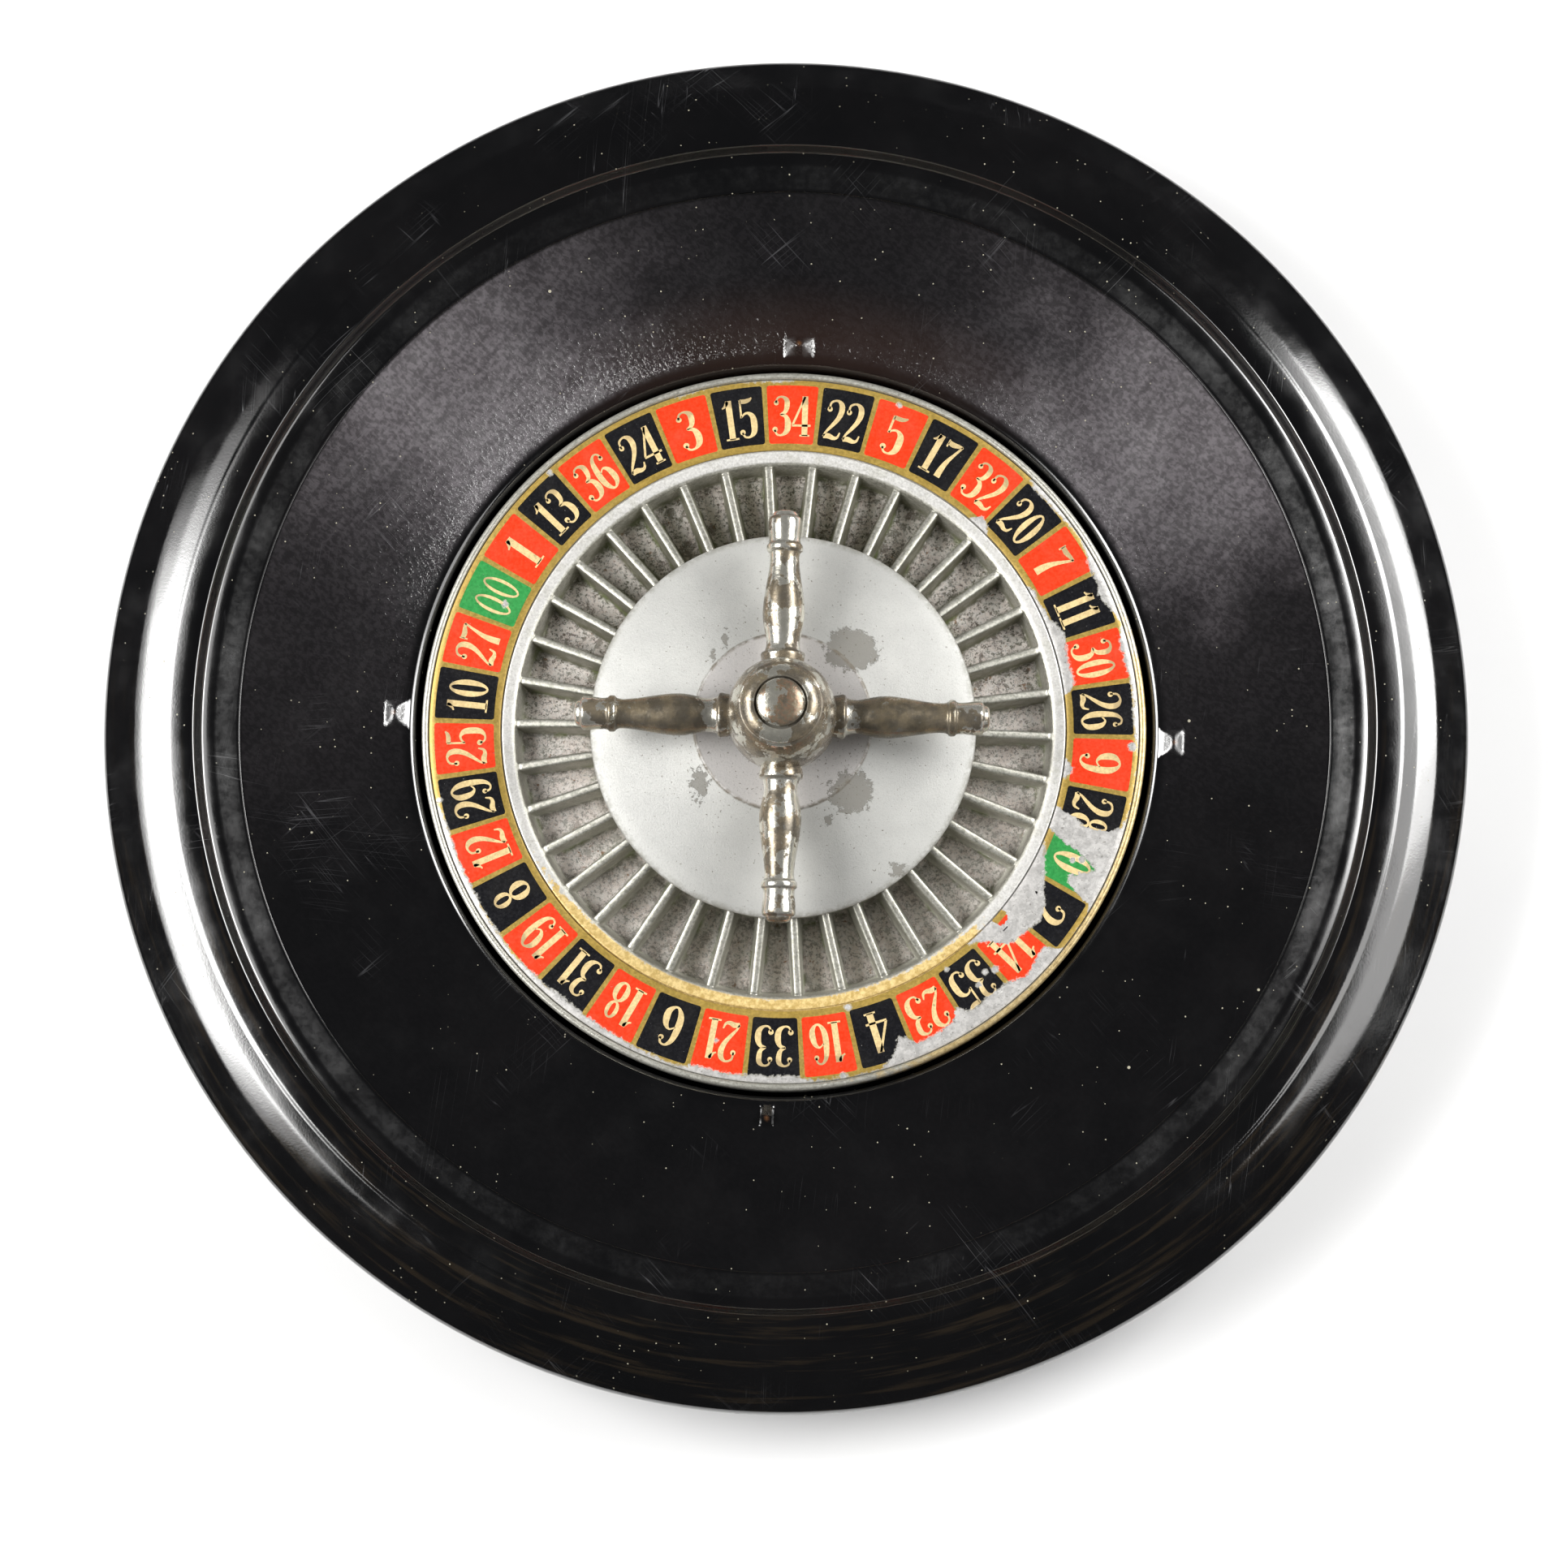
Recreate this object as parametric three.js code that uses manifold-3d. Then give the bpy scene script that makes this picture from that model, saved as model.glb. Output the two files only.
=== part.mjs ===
import * as THREE from "three";
import { mergeVertices } from "three/addons/utils/BufferGeometryUtils.js";
import Module from "manifold-3d";

const wasm = await Module();
wasm.setup();

// All lengths in mm, +Z up, origin under the centre of the bowl at the level the feet stand on.

// Bowl
const BOWL_R = 152.4;
const CROWN_R = 132.3;
const CROWN_Z = 32.0;
const TRACK_EDGE_R = 121.3;
const TRACK_EDGE_Z = 26.9;
const LIP_R = 83.9;
const LIP_Z = 22.6;
const WELL_R = 82.3;
const WELL_FLOOR_Z = 9.4;
const WELL_UNDER_Z = 6.0;
const BASE_Z = 2.5;
const SPINDLE_HOLE_R = 3.4;
const BUMP_R = 84.1;
const BUMP_LENGTH = 6.4;
const BUMP_WIDTH = 6.6;
const BUMP_HEIGHT = 1.7;
const BUMP_TURN = -2.4;

// Feet
const FOOT_COUNT = 3;
const FOOT_CIRCLE_R = 98.0;
const FOOT_R = 5.5;
const LUG_R = 6.8;

// Rotor
const POCKETS = 38;
const POCKET_PITCH = 360 / POCKETS;
const POCKET_TURN = 88.4;
const ROTOR_R = 81.0;
const ROTOR_UNDER_Z = 12.6;
const RIM_TOP_Z = 22.4;
const LABEL_SEAT_Z = 21.3;
const LABEL_OUTER_R = 79.2;
const LABEL_INNER_R = 63.3;
const LABEL_BOTTOM_Z = 21.6;
const LABEL_TOP_Z = 22.0;
const POCKET_OUTER_R = 60.2;
const POCKET_FLOOR_OUTER_R = 58.9;
const POCKET_FLOOR_Z = 15.4;
const PLATE_SEAT_R = 41.4;
const BOSS_R = 8.0;
const BOSS_TOP_Z = 30.3;
const BUSH_BORE_R = 5.4;
const BUSH_TOP_Z = 24.4;
const SCREW_BORE_R = 2.4;

// Frets
const FRET_INNER_R = 43.0;
const FRET_BOTTOM_Z = 15.7;
const FRET_OUTER_TOP_Z = 21.1;
const FRET_INNER_TOP_Z = 23.3;
const FRET_BASE_W = 2.6;
const FRET_TOP_W = 1.8;

// Cone plate
const PLATE_R = 42.9;
const PLATE_EDGE_Z = 25.9;
const PLATE_STEP_R = 19.6;
const PLATE_TOP_Z = 31.8;
const PLATE_T = 1.1;

// Turret
const TURRET_TURN = -1.0;
const HUB_R = 12.0;
const HUB_BASE_Z = 32.1;
const ARM_Z = 39.4;
const ARM_TENON_R = 2.2;
const ARM_SOCKET_R = 2.5;
const ARM_TENON_START = 6.6;
const ARM_TIP = 45.2;
const BUTTON_R = 5.2;
const BUTTON_TOP_Z = 58.8;
const SCREW_SHANK_R = 2.0;
const SCREW_END_Z = 26.0;

// Spindle
const SPINDLE_R = 3.0;
const SPINDLE_BOTTOM_Z = 2.0;
const SPINDLE_TOP_Z = 24.0;
const COLLAR_R = 6.4;
const COLLAR_BOTTOM_Z = 10.6;
const COLLAR_TOP_Z = 11.5;

// Facets round a circle
const FACETS_BIG = 76;
const FACETS_HUB = 32;
const FACETS_SMALL = 24;
const FACETS_ARM = 14;

const rad = (deg) => (deg * Math.PI) / 180;

function solid(geometry) {
  const g = geometry.clone();
  g.deleteAttribute("normal");
  g.deleteAttribute("uv");
  const m = mergeVertices(g, 1e-4);
  return new wasm.Manifold(
    new wasm.Mesh({
      numProp: 3,
      vertProperties: m.attributes.position.array,
      triVerts: new Uint32Array(m.index.array),
    }),
  );
}

function geometryOf(manifold) {
  const m = manifold.getMesh();
  const g = new THREE.BufferGeometry();
  const v = new Float32Array(m.numVert * 3);
  for (let i = 0; i < m.numVert; i++) {
    v.set(m.vertProperties.subarray(i * m.numProp, i * m.numProp + 3), i * 3);
  }
  g.setAttribute("position", new THREE.BufferAttribute(v, 3));
  g.setIndex(new THREE.BufferAttribute(m.triVerts, 1));
  const flat = g.toNonIndexed();
  flat.computeVertexNormals();
  return flat;
}

// A solid of revolution about Z from a closed profile of [radius, height] pairs.
function ring(profile, facets) {
  const points = profile.map(([r, z]) => new THREE.Vector2(r, z));
  points.push(points[0].clone());
  const g = new THREE.LatheGeometry(points, facets);
  g.rotateX(Math.PI / 2);
  return outward(g);
}

// A solid of revolution about Z whose profile starts and ends on the axis.
function turned(profile, facets) {
  const points = profile.map(([r, z]) => new THREE.Vector2(r, z));
  const g = new THREE.LatheGeometry(points, facets);
  g.rotateX(Math.PI / 2);
  return outward(g);
}

function outward(geometry) {
  const s = solid(geometry);
  if (s.volume() > 0) {
    return s;
  }
  const g = geometry.clone();
  const idx = g.index.array;
  for (let i = 0; i < idx.length; i += 3) {
    const t = idx[i + 1];
    idx[i + 1] = idx[i + 2];
    idx[i + 2] = t;
  }
  return solid(g);
}

function shape(build) {
  const s = new THREE.Shape();
  build(s);
  return s;
}

// Bowl profile: along the top from the spindle hole outwards, then back along the underside.
const bowlProfile = [
  [SPINDLE_HOLE_R, 10.4],
  [8.6, 10.4],
  [9.6, WELL_FLOOR_Z],
  [79.2, WELL_FLOOR_Z],
  [81.6, 10.3],
  [WELL_R, 12.6],
  [WELL_R, 21.4],
  [82.8, 22.2],
  [LIP_R, LIP_Z],
  [TRACK_EDGE_R - 0.3, TRACK_EDGE_Z - 0.7],
  [TRACK_EDGE_R, TRACK_EDGE_Z],
  [124.2, 27.4],
  [126.7, 27.86],
  [128.1, 28.5],
  [128.8, 28.93],
  [129.4, 29.6],
  [130.4, 31.5],
  [130.9, 31.9],
  [CROWN_R, CROWN_Z],
  [134.0, 31.86],
  [135.0, 31.64],
  [137.4, 30.95],
  [138.0, 30.7],
  [141.2, 29.68],
  [143.2, 28.9],
  [147.2, 26.82],
  [150.2, 25.0],
  [151.1, 24.3],
  [151.8, 23.1],
  [BOWL_R, 20.9],
  [151.9, 19.7],
  [150.7, 19.7],
  [148.2, 22.9],
  [144.4, 25.4],
  [139.0, 27.3],
  [134.6, 27.8],
  [132.4, 25.4],
  [129.4, 23.6],
  [124.6, 22.6],
  [109.6, 20.9],
  [106.2, BASE_Z + 0.6],
  [105.2, BASE_Z],
  [101.6, BASE_Z],
  [101.2, BASE_Z + 0.6],
  [99.4, 19.6],
  [87.2, 17.8],
  [86.6, 8.6],
  [84.0, WELL_UNDER_Z],
  [12.6, WELL_UNDER_Z],
  [12.0, 5.6],
  [SPINDLE_HOLE_R, 5.6],
];

// Small moulded deflector: a low three-sided hump on the inner slope, point outwards.
function deflector(angle) {
  const slope = (TRACK_EDGE_Z - LIP_Z) / (TRACK_EDGE_R - LIP_R);
  const top = (r) => LIP_Z + slope * (r - LIP_R);
  const sunk = 1.2;
  const tip = BUMP_R + BUMP_LENGTH;
  const peak = BUMP_R + BUMP_LENGTH * 0.3;
  const half = BUMP_WIDTH / 2;
  const points = [
    [BUMP_R, -half, top(BUMP_R)],
    [BUMP_R, half, top(BUMP_R)],
    [tip, 0, top(tip)],
    [BUMP_R, -half, top(BUMP_R) - sunk],
    [BUMP_R, half, top(BUMP_R) - sunk],
    [tip, 0, top(tip) - sunk],
    [peak, -0.7, top(peak) + BUMP_HEIGHT],
    [peak, 0.7, top(peak) + BUMP_HEIGHT],
    [BUMP_R + BUMP_LENGTH * 0.62, 0, top(peak) + BUMP_HEIGHT * 0.85],
  ];
  return wasm.Manifold.hull(points).rotate([0, 0, angle]);
}

const bumps = [0, 90, 180, 270].map((a) => deflector(a + BUMP_TURN));

function footPlace(i) {
  const a = rad(90 + (360 / FOOT_COUNT) * i);
  return [FOOT_CIRCLE_R * Math.cos(a), FOOT_CIRCLE_R * Math.sin(a)];
}

const lugProfile = [
  [0, BASE_Z],
  [LUG_R - 0.3, BASE_Z],
  [LUG_R, BASE_Z + 0.3],
  [LUG_R, 20.0],
  [0, 20.0],
];

const lugs = [];
for (let i = 0; i < FOOT_COUNT; i++) {
  const [x, y] = footPlace(i);
  lugs.push(turned(lugProfile, FACETS_SMALL).translate([x, y, 0]));
}

const bowl = wasm.Manifold.union([ring(bowlProfile, FACETS_BIG), ...bumps, ...lugs]);

const footProfile = [
  [0, 0],
  [FOOT_R - 0.5, 0],
  [FOOT_R, 0.5],
  [FOOT_R - 0.2, BASE_Z - 0.2],
  [0, BASE_Z - 0.2],
];

// Spindle with its collar, and what holds it
const spindleProfile = [
  [0, SPINDLE_BOTTOM_Z],
  [SPINDLE_R - 0.4, SPINDLE_BOTTOM_Z],
  [SPINDLE_R, SPINDLE_BOTTOM_Z + 0.4],
  [SPINDLE_R, COLLAR_BOTTOM_Z],
  [COLLAR_R, COLLAR_BOTTOM_Z],
  [COLLAR_R, COLLAR_TOP_Z],
  [SPINDLE_R, COLLAR_TOP_Z],
  [SPINDLE_R, SPINDLE_TOP_Z - 1.2],
  [1.4, SPINDLE_TOP_Z],
  [0, SPINDLE_TOP_Z],
];

const thrustWasherProfile = [
  [3.4, 11.7],
  [6.2, 11.7],
  [6.2, 12.3],
  [3.4, 12.3],
];

const spindleWasherProfile = [
  [3.3, 4.6],
  [8.0, 4.6],
  [8.0, 5.4],
  [3.3, 5.4],
];

function hexNut(across, bore, bottom, top) {
  const s = shape((p) => {
    for (let i = 0; i < 6; i++) {
      const a = rad(60 * i);
      const r = across / 2 / Math.cos(rad(30));
      if (i === 0) {
        p.moveTo(r * Math.cos(a), r * Math.sin(a));
      } else {
        p.lineTo(r * Math.cos(a), r * Math.sin(a));
      }
    }
    p.closePath();
    const hole = new THREE.Path();
    hole.absarc(0, 0, bore, 0, Math.PI * 2, true);
    p.holes.push(hole);
  });
  const g = new THREE.ExtrudeGeometry(s, { depth: top - bottom, bevelEnabled: false, curveSegments: 24 });
  g.translate(0, 0, bottom);
  return solid(g);
}

// Rotor pan: raised rim with the seat of the number ring, pocket trough, plate seat, centre boss
const castingProfile = [
  [BUSH_BORE_R, ROTOR_UNDER_Z],
  [78.6, ROTOR_UNDER_Z],
  [80.6, ROTOR_UNDER_Z + 0.8],
  [ROTOR_R, 14.4],
  [ROTOR_R, RIM_TOP_Z - 0.7],
  [80.5, RIM_TOP_Z - 0.1],
  [80.0, RIM_TOP_Z],
  [79.6, RIM_TOP_Z - 0.2],
  [79.45, LABEL_SEAT_Z],
  [63.0, LABEL_SEAT_Z],
  [62.8, 21.8],
  [POCKET_OUTER_R + 0.5, 21.5],
  [POCKET_OUTER_R, 21.2],
  [POCKET_FLOOR_OUTER_R + 0.2, POCKET_FLOOR_Z + 0.9],
  [POCKET_FLOOR_OUTER_R - 0.6, POCKET_FLOOR_Z],
  [PLATE_SEAT_R + 1.0, POCKET_FLOOR_Z],
  [PLATE_SEAT_R, POCKET_FLOOR_Z + 1.0],
  [PLATE_SEAT_R - 0.2, 24.5],
  [38.6, 25.2],
  [38.2, POCKET_FLOOR_Z],
  [BOSS_R + 1.6, POCKET_FLOOR_Z],
  [BOSS_R, POCKET_FLOOR_Z + 2.0],
  [BOSS_R, BOSS_TOP_Z],
  [SCREW_BORE_R, BOSS_TOP_Z],
  [SCREW_BORE_R, BUSH_TOP_Z + 0.4],
  [BUSH_BORE_R, BUSH_TOP_Z + 0.4],
];

const bushProfile = [
  [3.3, ROTOR_UNDER_Z],
  [5.1, ROTOR_UNDER_Z],
  [5.1, BUSH_TOP_Z],
  [3.3, BUSH_TOP_Z],
];

const labelProfile = [
  [LABEL_INNER_R, LABEL_BOTTOM_Z],
  [LABEL_OUTER_R, LABEL_BOTTOM_Z],
  [LABEL_OUTER_R, LABEL_TOP_Z],
  [LABEL_INNER_R, LABEL_TOP_Z],
];

// One fret as a convex bar with a rounded top, lying along +X.
function fret() {
  const outerBottom = POCKET_FLOOR_OUTER_R - 0.75;
  const outerTop = POCKET_OUTER_R - 0.35;
  const section = (x, top) => [
    [x, -FRET_BASE_W / 2, FRET_BOTTOM_Z],
    [x, FRET_BASE_W / 2, FRET_BOTTOM_Z],
    [x, -FRET_TOP_W / 2, top - 0.55],
    [x, FRET_TOP_W / 2, top - 0.55],
    [x, -FRET_TOP_W / 4, top],
    [x, FRET_TOP_W / 4, top],
  ];
  const outer = section(outerTop, FRET_OUTER_TOP_Z).slice(2);
  const foot = section(outerBottom, FRET_OUTER_TOP_Z).slice(0, 2);
  return wasm.Manifold.hull([...section(FRET_INNER_R, FRET_INNER_TOP_Z), ...outer, ...foot]);
}

const plateProfile = [
  [SCREW_BORE_R, PLATE_TOP_Z - PLATE_T],
  [PLATE_STEP_R - 1.0, PLATE_TOP_Z - PLATE_T],
  [PLATE_R - 1.2, PLATE_EDGE_Z - PLATE_T],
  [PLATE_R - 0.4, PLATE_EDGE_Z - PLATE_T - 0.3],
  [PLATE_R, PLATE_EDGE_Z - PLATE_T],
  [PLATE_R, PLATE_EDGE_Z - 0.4],
  [PLATE_R - 0.5, PLATE_EDGE_Z],
  [PLATE_STEP_R + 0.2, PLATE_TOP_Z - 0.35],
  [PLATE_STEP_R - 0.2, PLATE_TOP_Z],
  [SCREW_BORE_R, PLATE_TOP_Z],
];

const hubProfile = [
  [SCREW_BORE_R, HUB_BASE_Z],
  [8.6, HUB_BASE_Z],
  [8.8, 32.8],
  [8.0, 33.6],
  [8.6, 35.2],
  [11.0, 36.6],
  [HUB_R, 37.8],
  [HUB_R, 41.0],
  [HUB_R - 0.1, 44.0],
  [HUB_R - 0.5, 47.5],
  [10.7, 50.8],
  [9.6, 53.6],
  [9.0, 54.9],
  [8.6, 55.1],
  [8.6, 55.5],
  [7.6, 56.4],
  [6.3, 57.0],
  [5.7, 57.1],
  [5.5, 56.2],
  [SCREW_BORE_R, 56.2],
];

const screwProfile = [
  [0, SCREW_END_Z],
  [SCREW_SHANK_R - 0.3, SCREW_END_Z],
  [SCREW_SHANK_R, SCREW_END_Z + 0.3],
  [SCREW_SHANK_R, 56.4],
  [BUTTON_R - 0.2, 56.4],
  [BUTTON_R, 56.7],
  [BUTTON_R, 57.2],
  [4.6, 57.9],
  [3.2, 58.5],
  [1.6, BUTTON_TOP_Z - 0.06],
  [0, BUTTON_TOP_Z],
];

// Turned arm, its axis along +X: distance from the turret's axis and radius
const armProfile = [
  [ARM_TENON_START, 0],
  [ARM_TENON_START, ARM_TENON_R],
  [10.0, ARM_TENON_R],
  [10.0, 4.5],
  [12.6, 4.8],
  [13.8, 4.75],
  [14.3, 4.1],
  [15.2, 3.75],
  [16.8, 3.7],
  [19.2, 4.2],
  [22.0, 4.6],
  [25.2, 4.45],
  [29.2, 3.85],
  [33.4, 3.25],
  [36.2, 3.45],
  [36.6, 3.9],
  [37.8, 3.9],
  [38.3, 3.55],
  [40.2, 3.5],
  [42.8, 3.7],
  [43.7, 3.5],
  [43.9, 2.9],
  [44.8, 2.6],
  [ARM_TIP, 1.6],
  [ARM_TIP, 0],
];

function alongX(manifold) {
  return manifold.rotate([0, 90, 0]);
}

const hubClear = turned(
  [
    [0, 33.0],
    [HUB_R + 0.2, 33.0],
    [HUB_R + 0.2, 48.0],
    [0, 48.0],
  ],
  FACETS_HUB,
).rotate([0, 0, TURRET_TURN]);

const tenonKeep = alongX(
  turned(
    [
      [0, 0],
      [ARM_TENON_R + 0.02, 0],
      [ARM_TENON_R + 0.02, 20],
      [0, 20],
    ],
    FACETS_ARM,
  ),
).translate([0, 0, ARM_Z]);

function arm(angle) {
  const body = alongX(turned(armProfile.map(([x, r]) => [r, x]), FACETS_ARM)).translate([0, 0, ARM_Z]);
  return body.rotate([0, 0, angle]).subtract(hubClear.subtract(tenonKeep.rotate([0, 0, angle])));
}

const armTurns = [0, 90, 180, 270].map((a) => a + TURRET_TURN);

function hub() {
  const body = ring(hubProfile, FACETS_HUB).rotate([0, 0, TURRET_TURN]);
  const socket = alongX(
    turned(
      [
        [0, ARM_TENON_START - 0.4],
        [ARM_SOCKET_R, ARM_TENON_START - 0.4],
        [ARM_SOCKET_R, 14],
        [0, 14],
      ],
      FACETS_ARM,
    ),
  ).translate([0, 0, ARM_Z]);
  return wasm.Manifold.difference([body, ...armTurns.map((a) => socket.rotate([0, 0, a]))]);
}

const bowlLook = { color: 0x161618, roughness: 0.18, metalness: 0 };
const rubberLook = { color: 0x2a2a2c, roughness: 0.9, metalness: 0 };
const steelLook = { color: 0x9a9c9e, roughness: 0.35, metalness: 1 };
const brassLook = { color: 0xb08d4a, roughness: 0.35, metalness: 1 };
const castLook = { color: 0xa9aaa8, roughness: 0.45, metalness: 1 };
const plateLook = { color: 0xc3c4c4, roughness: 0.28, metalness: 1 };
const labelLook = { color: 0xb59a45, roughness: 0.5, metalness: 0 };
const turretLook = { color: 0x9b958a, roughness: 0.25, metalness: 1 };

const group = new THREE.Group();
group.name = "roulette_wheel";

function add(name, manifold, look) {
  const mesh = new THREE.Mesh(geometryOf(manifold), new THREE.MeshStandardMaterial(look));
  mesh.name = name;
  group.add(mesh);
}

add("bowl", bowl, bowlLook);
for (let i = 0; i < FOOT_COUNT; i++) {
  const [x, y] = footPlace(i);
  add(`foot_${i + 1}`, turned(footProfile, FACETS_SMALL).translate([x, y, 0]), rubberLook);
}
add("spindle", turned(spindleProfile, FACETS_SMALL), steelLook);
add("thrust_washer", ring(thrustWasherProfile, FACETS_SMALL), brassLook);
add("spindle_washer", ring(spindleWasherProfile, FACETS_SMALL), steelLook);
add("spindle_nut", hexNut(10, 3.3, 1.9, 4.4), steelLook);

add("rotor_casting", ring(castingProfile, FACETS_BIG), castLook);
for (let i = 0; i < POCKETS; i++) {
  const a = POCKET_TURN - POCKET_PITCH * (i + 0.5);
  const name = `fret_${String(i + 1).padStart(2, "0")}`;
  add(name, fret().rotate([0, 0, a]), castLook);
}
add("number_ring", ring(labelProfile, FACETS_BIG), labelLook);
add("cone_plate", ring(plateProfile, FACETS_BIG), plateLook);
add("bearing_bush", ring(bushProfile, FACETS_SMALL), brassLook);
add("turret_hub", hub(), turretLook);
armTurns.forEach((a, i) => add(`turret_arm_${i + 1}`, arm(a), turretLook));
add("turret_screw", turned(screwProfile, FACETS_SMALL), turretLook);

export default group;
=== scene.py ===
import math

import bmesh
import bpy
from mathutils import Matrix, Vector, noise


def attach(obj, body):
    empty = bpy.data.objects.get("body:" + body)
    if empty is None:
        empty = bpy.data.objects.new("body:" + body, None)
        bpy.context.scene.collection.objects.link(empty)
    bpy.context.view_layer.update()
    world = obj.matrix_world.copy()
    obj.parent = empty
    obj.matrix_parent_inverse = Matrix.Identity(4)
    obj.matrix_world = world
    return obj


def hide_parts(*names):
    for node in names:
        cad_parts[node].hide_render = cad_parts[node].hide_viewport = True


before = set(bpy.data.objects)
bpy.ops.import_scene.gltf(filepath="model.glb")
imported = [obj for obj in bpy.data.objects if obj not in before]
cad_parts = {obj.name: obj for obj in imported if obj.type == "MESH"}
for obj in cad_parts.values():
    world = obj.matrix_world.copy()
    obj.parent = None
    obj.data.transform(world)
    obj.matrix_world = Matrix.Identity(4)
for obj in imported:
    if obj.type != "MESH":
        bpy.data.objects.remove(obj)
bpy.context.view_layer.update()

# Lengths in this script are millimetres, turned to metres where a mesh is made.
MM = 0.001

# ---------------------------------------------------------------- sizes
POCKETS = 38
PITCH = 360.0 / POCKETS
TOP_POCKET = 88.4

BOWL_R = 152.4
CROWN_Z = 32.0
SPINDLE_HOLE_R = 3.4
WELL_R = 82.3
LIP_R = 83.9
LIP_Z = 22.6
TRACK_EDGE_R = 121.3
TRACK_EDGE_Z = 26.9
BUMP_R = 84.1
BUMP_HEIGHT = 1.7
BUMP_TURN = -2.4
BUMP_END_R = 94.5
WELL_TOP_Z = 21.0
FOOT_CIRCLE_R = 98.0

LABEL_INNER_R = 63.3
LABEL_OUTER_R = 79.2
LABEL_TOP_Z = 22.0
PANEL_INNER_R = 64.8
PANEL_OUTER_R = 78.1
NUMERAL_FOOT_R = 66.45
NUMERAL_HEIGHT = 9.2

FLOOR_Z = 15.4
TROUGH_UNDER_Z = 14.6
LEDGE_Z = 21.4
FRET_OUTER_TOP_Z = 21.1
FRET_INNER_TOP_Z = 23.3
FRET_END_R = 60.1

ARM_Z = 39.4
TURRET_TURN = -1.0


# ---------------------------------------------------------------- mesh helpers
def rad(degrees):
    return degrees * math.pi / 180.0


def polar(radius, degrees):
    return radius * math.cos(rad(degrees)), radius * math.sin(rad(degrees))


def face_out(mesh, weld=False):
    work = bmesh.new()
    work.from_mesh(mesh)
    if weld:
        bmesh.ops.remove_doubles(work, verts=work.verts, dist=1e-7)
    bmesh.ops.recalc_face_normals(work, faces=work.faces)
    work.to_mesh(mesh)
    work.free()


def piece(name, points, faces, look, body, crisp, closed=True):
    """A mesh object from points in mm, riding on a body. Edges sharper than crisp degrees stay sharp."""
    mesh = bpy.data.meshes.new(name)
    mesh.from_pydata([(x * MM, y * MM, z * MM) for x, y, z in points], [], faces)
    if closed:
        face_out(mesh, weld=True)
    mesh.validate()
    mesh.polygons.foreach_set("use_smooth", [True] * len(mesh.polygons))
    mesh.set_sharp_from_angle(angle=rad(crisp))
    mesh.materials.append(look)
    mesh.update()
    obj = bpy.data.objects.new(name, mesh)
    bpy.context.scene.collection.objects.link(obj)
    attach(obj, body)
    return obj


def paint(obj, name, tones):
    """Three numbers at each vertex, for a material to read."""
    layer = obj.data.color_attributes.new(name, "FLOAT_COLOR", "POINT")
    for spot, tone in zip(layer.data, tones):
        spot.color = (*tone, 1.0)


def between(table, value, beyond):
    """Straight-line reading of a table of (value, result)."""
    for (a, u), (b, v) in zip(table, table[1:]):
        if value <= b:
            return u + (v - u) * (value - a) / (b - a)
    return beyond


def held(value):
    """A number kept between 0 and 1."""
    return max(0.0, min(1.0, value))


def curve_through(points, parts=4):
    """A smooth run through points in a plane, ending on its first and last."""
    out = []
    for i in range(len(points) - 1):
        p1, p2 = Vector(points[i]), Vector(points[i + 1])
        p0 = Vector(points[i - 1]) if i > 0 else p1 + (p1 - p2)
        p3 = Vector(points[i + 2]) if i + 2 < len(points) else p2 + (p2 - p1)
        d1 = max((p1 - p0).length, 1e-6) ** 0.5
        d2 = max((p2 - p1).length, 1e-6) ** 0.5
        d3 = max((p3 - p2).length, 1e-6) ** 0.5
        m1 = (p1 - p0) / d1 - (p2 - p0) / (d1 + d2) + (p2 - p1) / d2
        m2 = (p2 - p1) / d2 - (p3 - p1) / (d2 + d3) + (p3 - p2) / d3
        m1, m2 = m1 * d2, m2 * d2
        for k in range(parts):
            t = k / parts
            a = 2 * t**3 - 3 * t**2 + 1
            b = t**3 - 2 * t**2 + t
            c = -2 * t**3 + 3 * t**2
            d = t**3 - t**2
            out.append(tuple(p1 * a + m1 * b + p2 * c + m2 * d))
    out.append(tuple(points[-1]))
    return out


class Outline:
    """A profile of (radius, height) in mm, drawn leg by leg from its last point."""

    def __init__(self, *points):
        self.points = list(points)

    def to(self, *points):
        self.points += points
        return self

    def straight(self, parts, point):
        a, b = Vector(self.points[-1]), Vector(point)
        return self.to(*[tuple(a.lerp(b, k / parts)) for k in range(1, parts + 1)])

    def curve(self, parts, *points):
        """A smooth leg through points, each gap in so many parts."""
        return self.to(*curve_through([self.points[-1], *points], parts)[1:])


def lathe(profile, angles, closed=True, move=None):
    """Points and faces of a profile of (radius, height) turned about Z."""
    points, faces = [], []
    n = len(profile)
    for a in angles:
        c, s = math.cos(rad(a)), math.sin(rad(a))
        for r, z in profile:
            if move:
                z = z + move(r, z, a)
            points.append((r * c, r * s, z))
    m = len(angles)
    for k in range(m):
        here, there = k * n, ((k + 1) % m) * n
        for i in range(n if closed else n - 1):
            j = (i + 1) % n
            if profile[i][0] < 1e-6 and profile[j][0] < 1e-6:
                continue
            faces.append((here + i, there + i, there + j, here + j))
    return points, faces


def even(count):
    return [360.0 * k / count for k in range(count)]


def shift(points, dx, dy):
    return [(x + dx, y + dy, z) for x, y, z in points]


def join(*parts):
    """Joins (points, faces) pairs."""
    points, faces = [], []
    for some, these in parts:
        base = len(points)
        points += some
        faces += [tuple(base + i for i in f) for f in these]
    return points, faces


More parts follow.
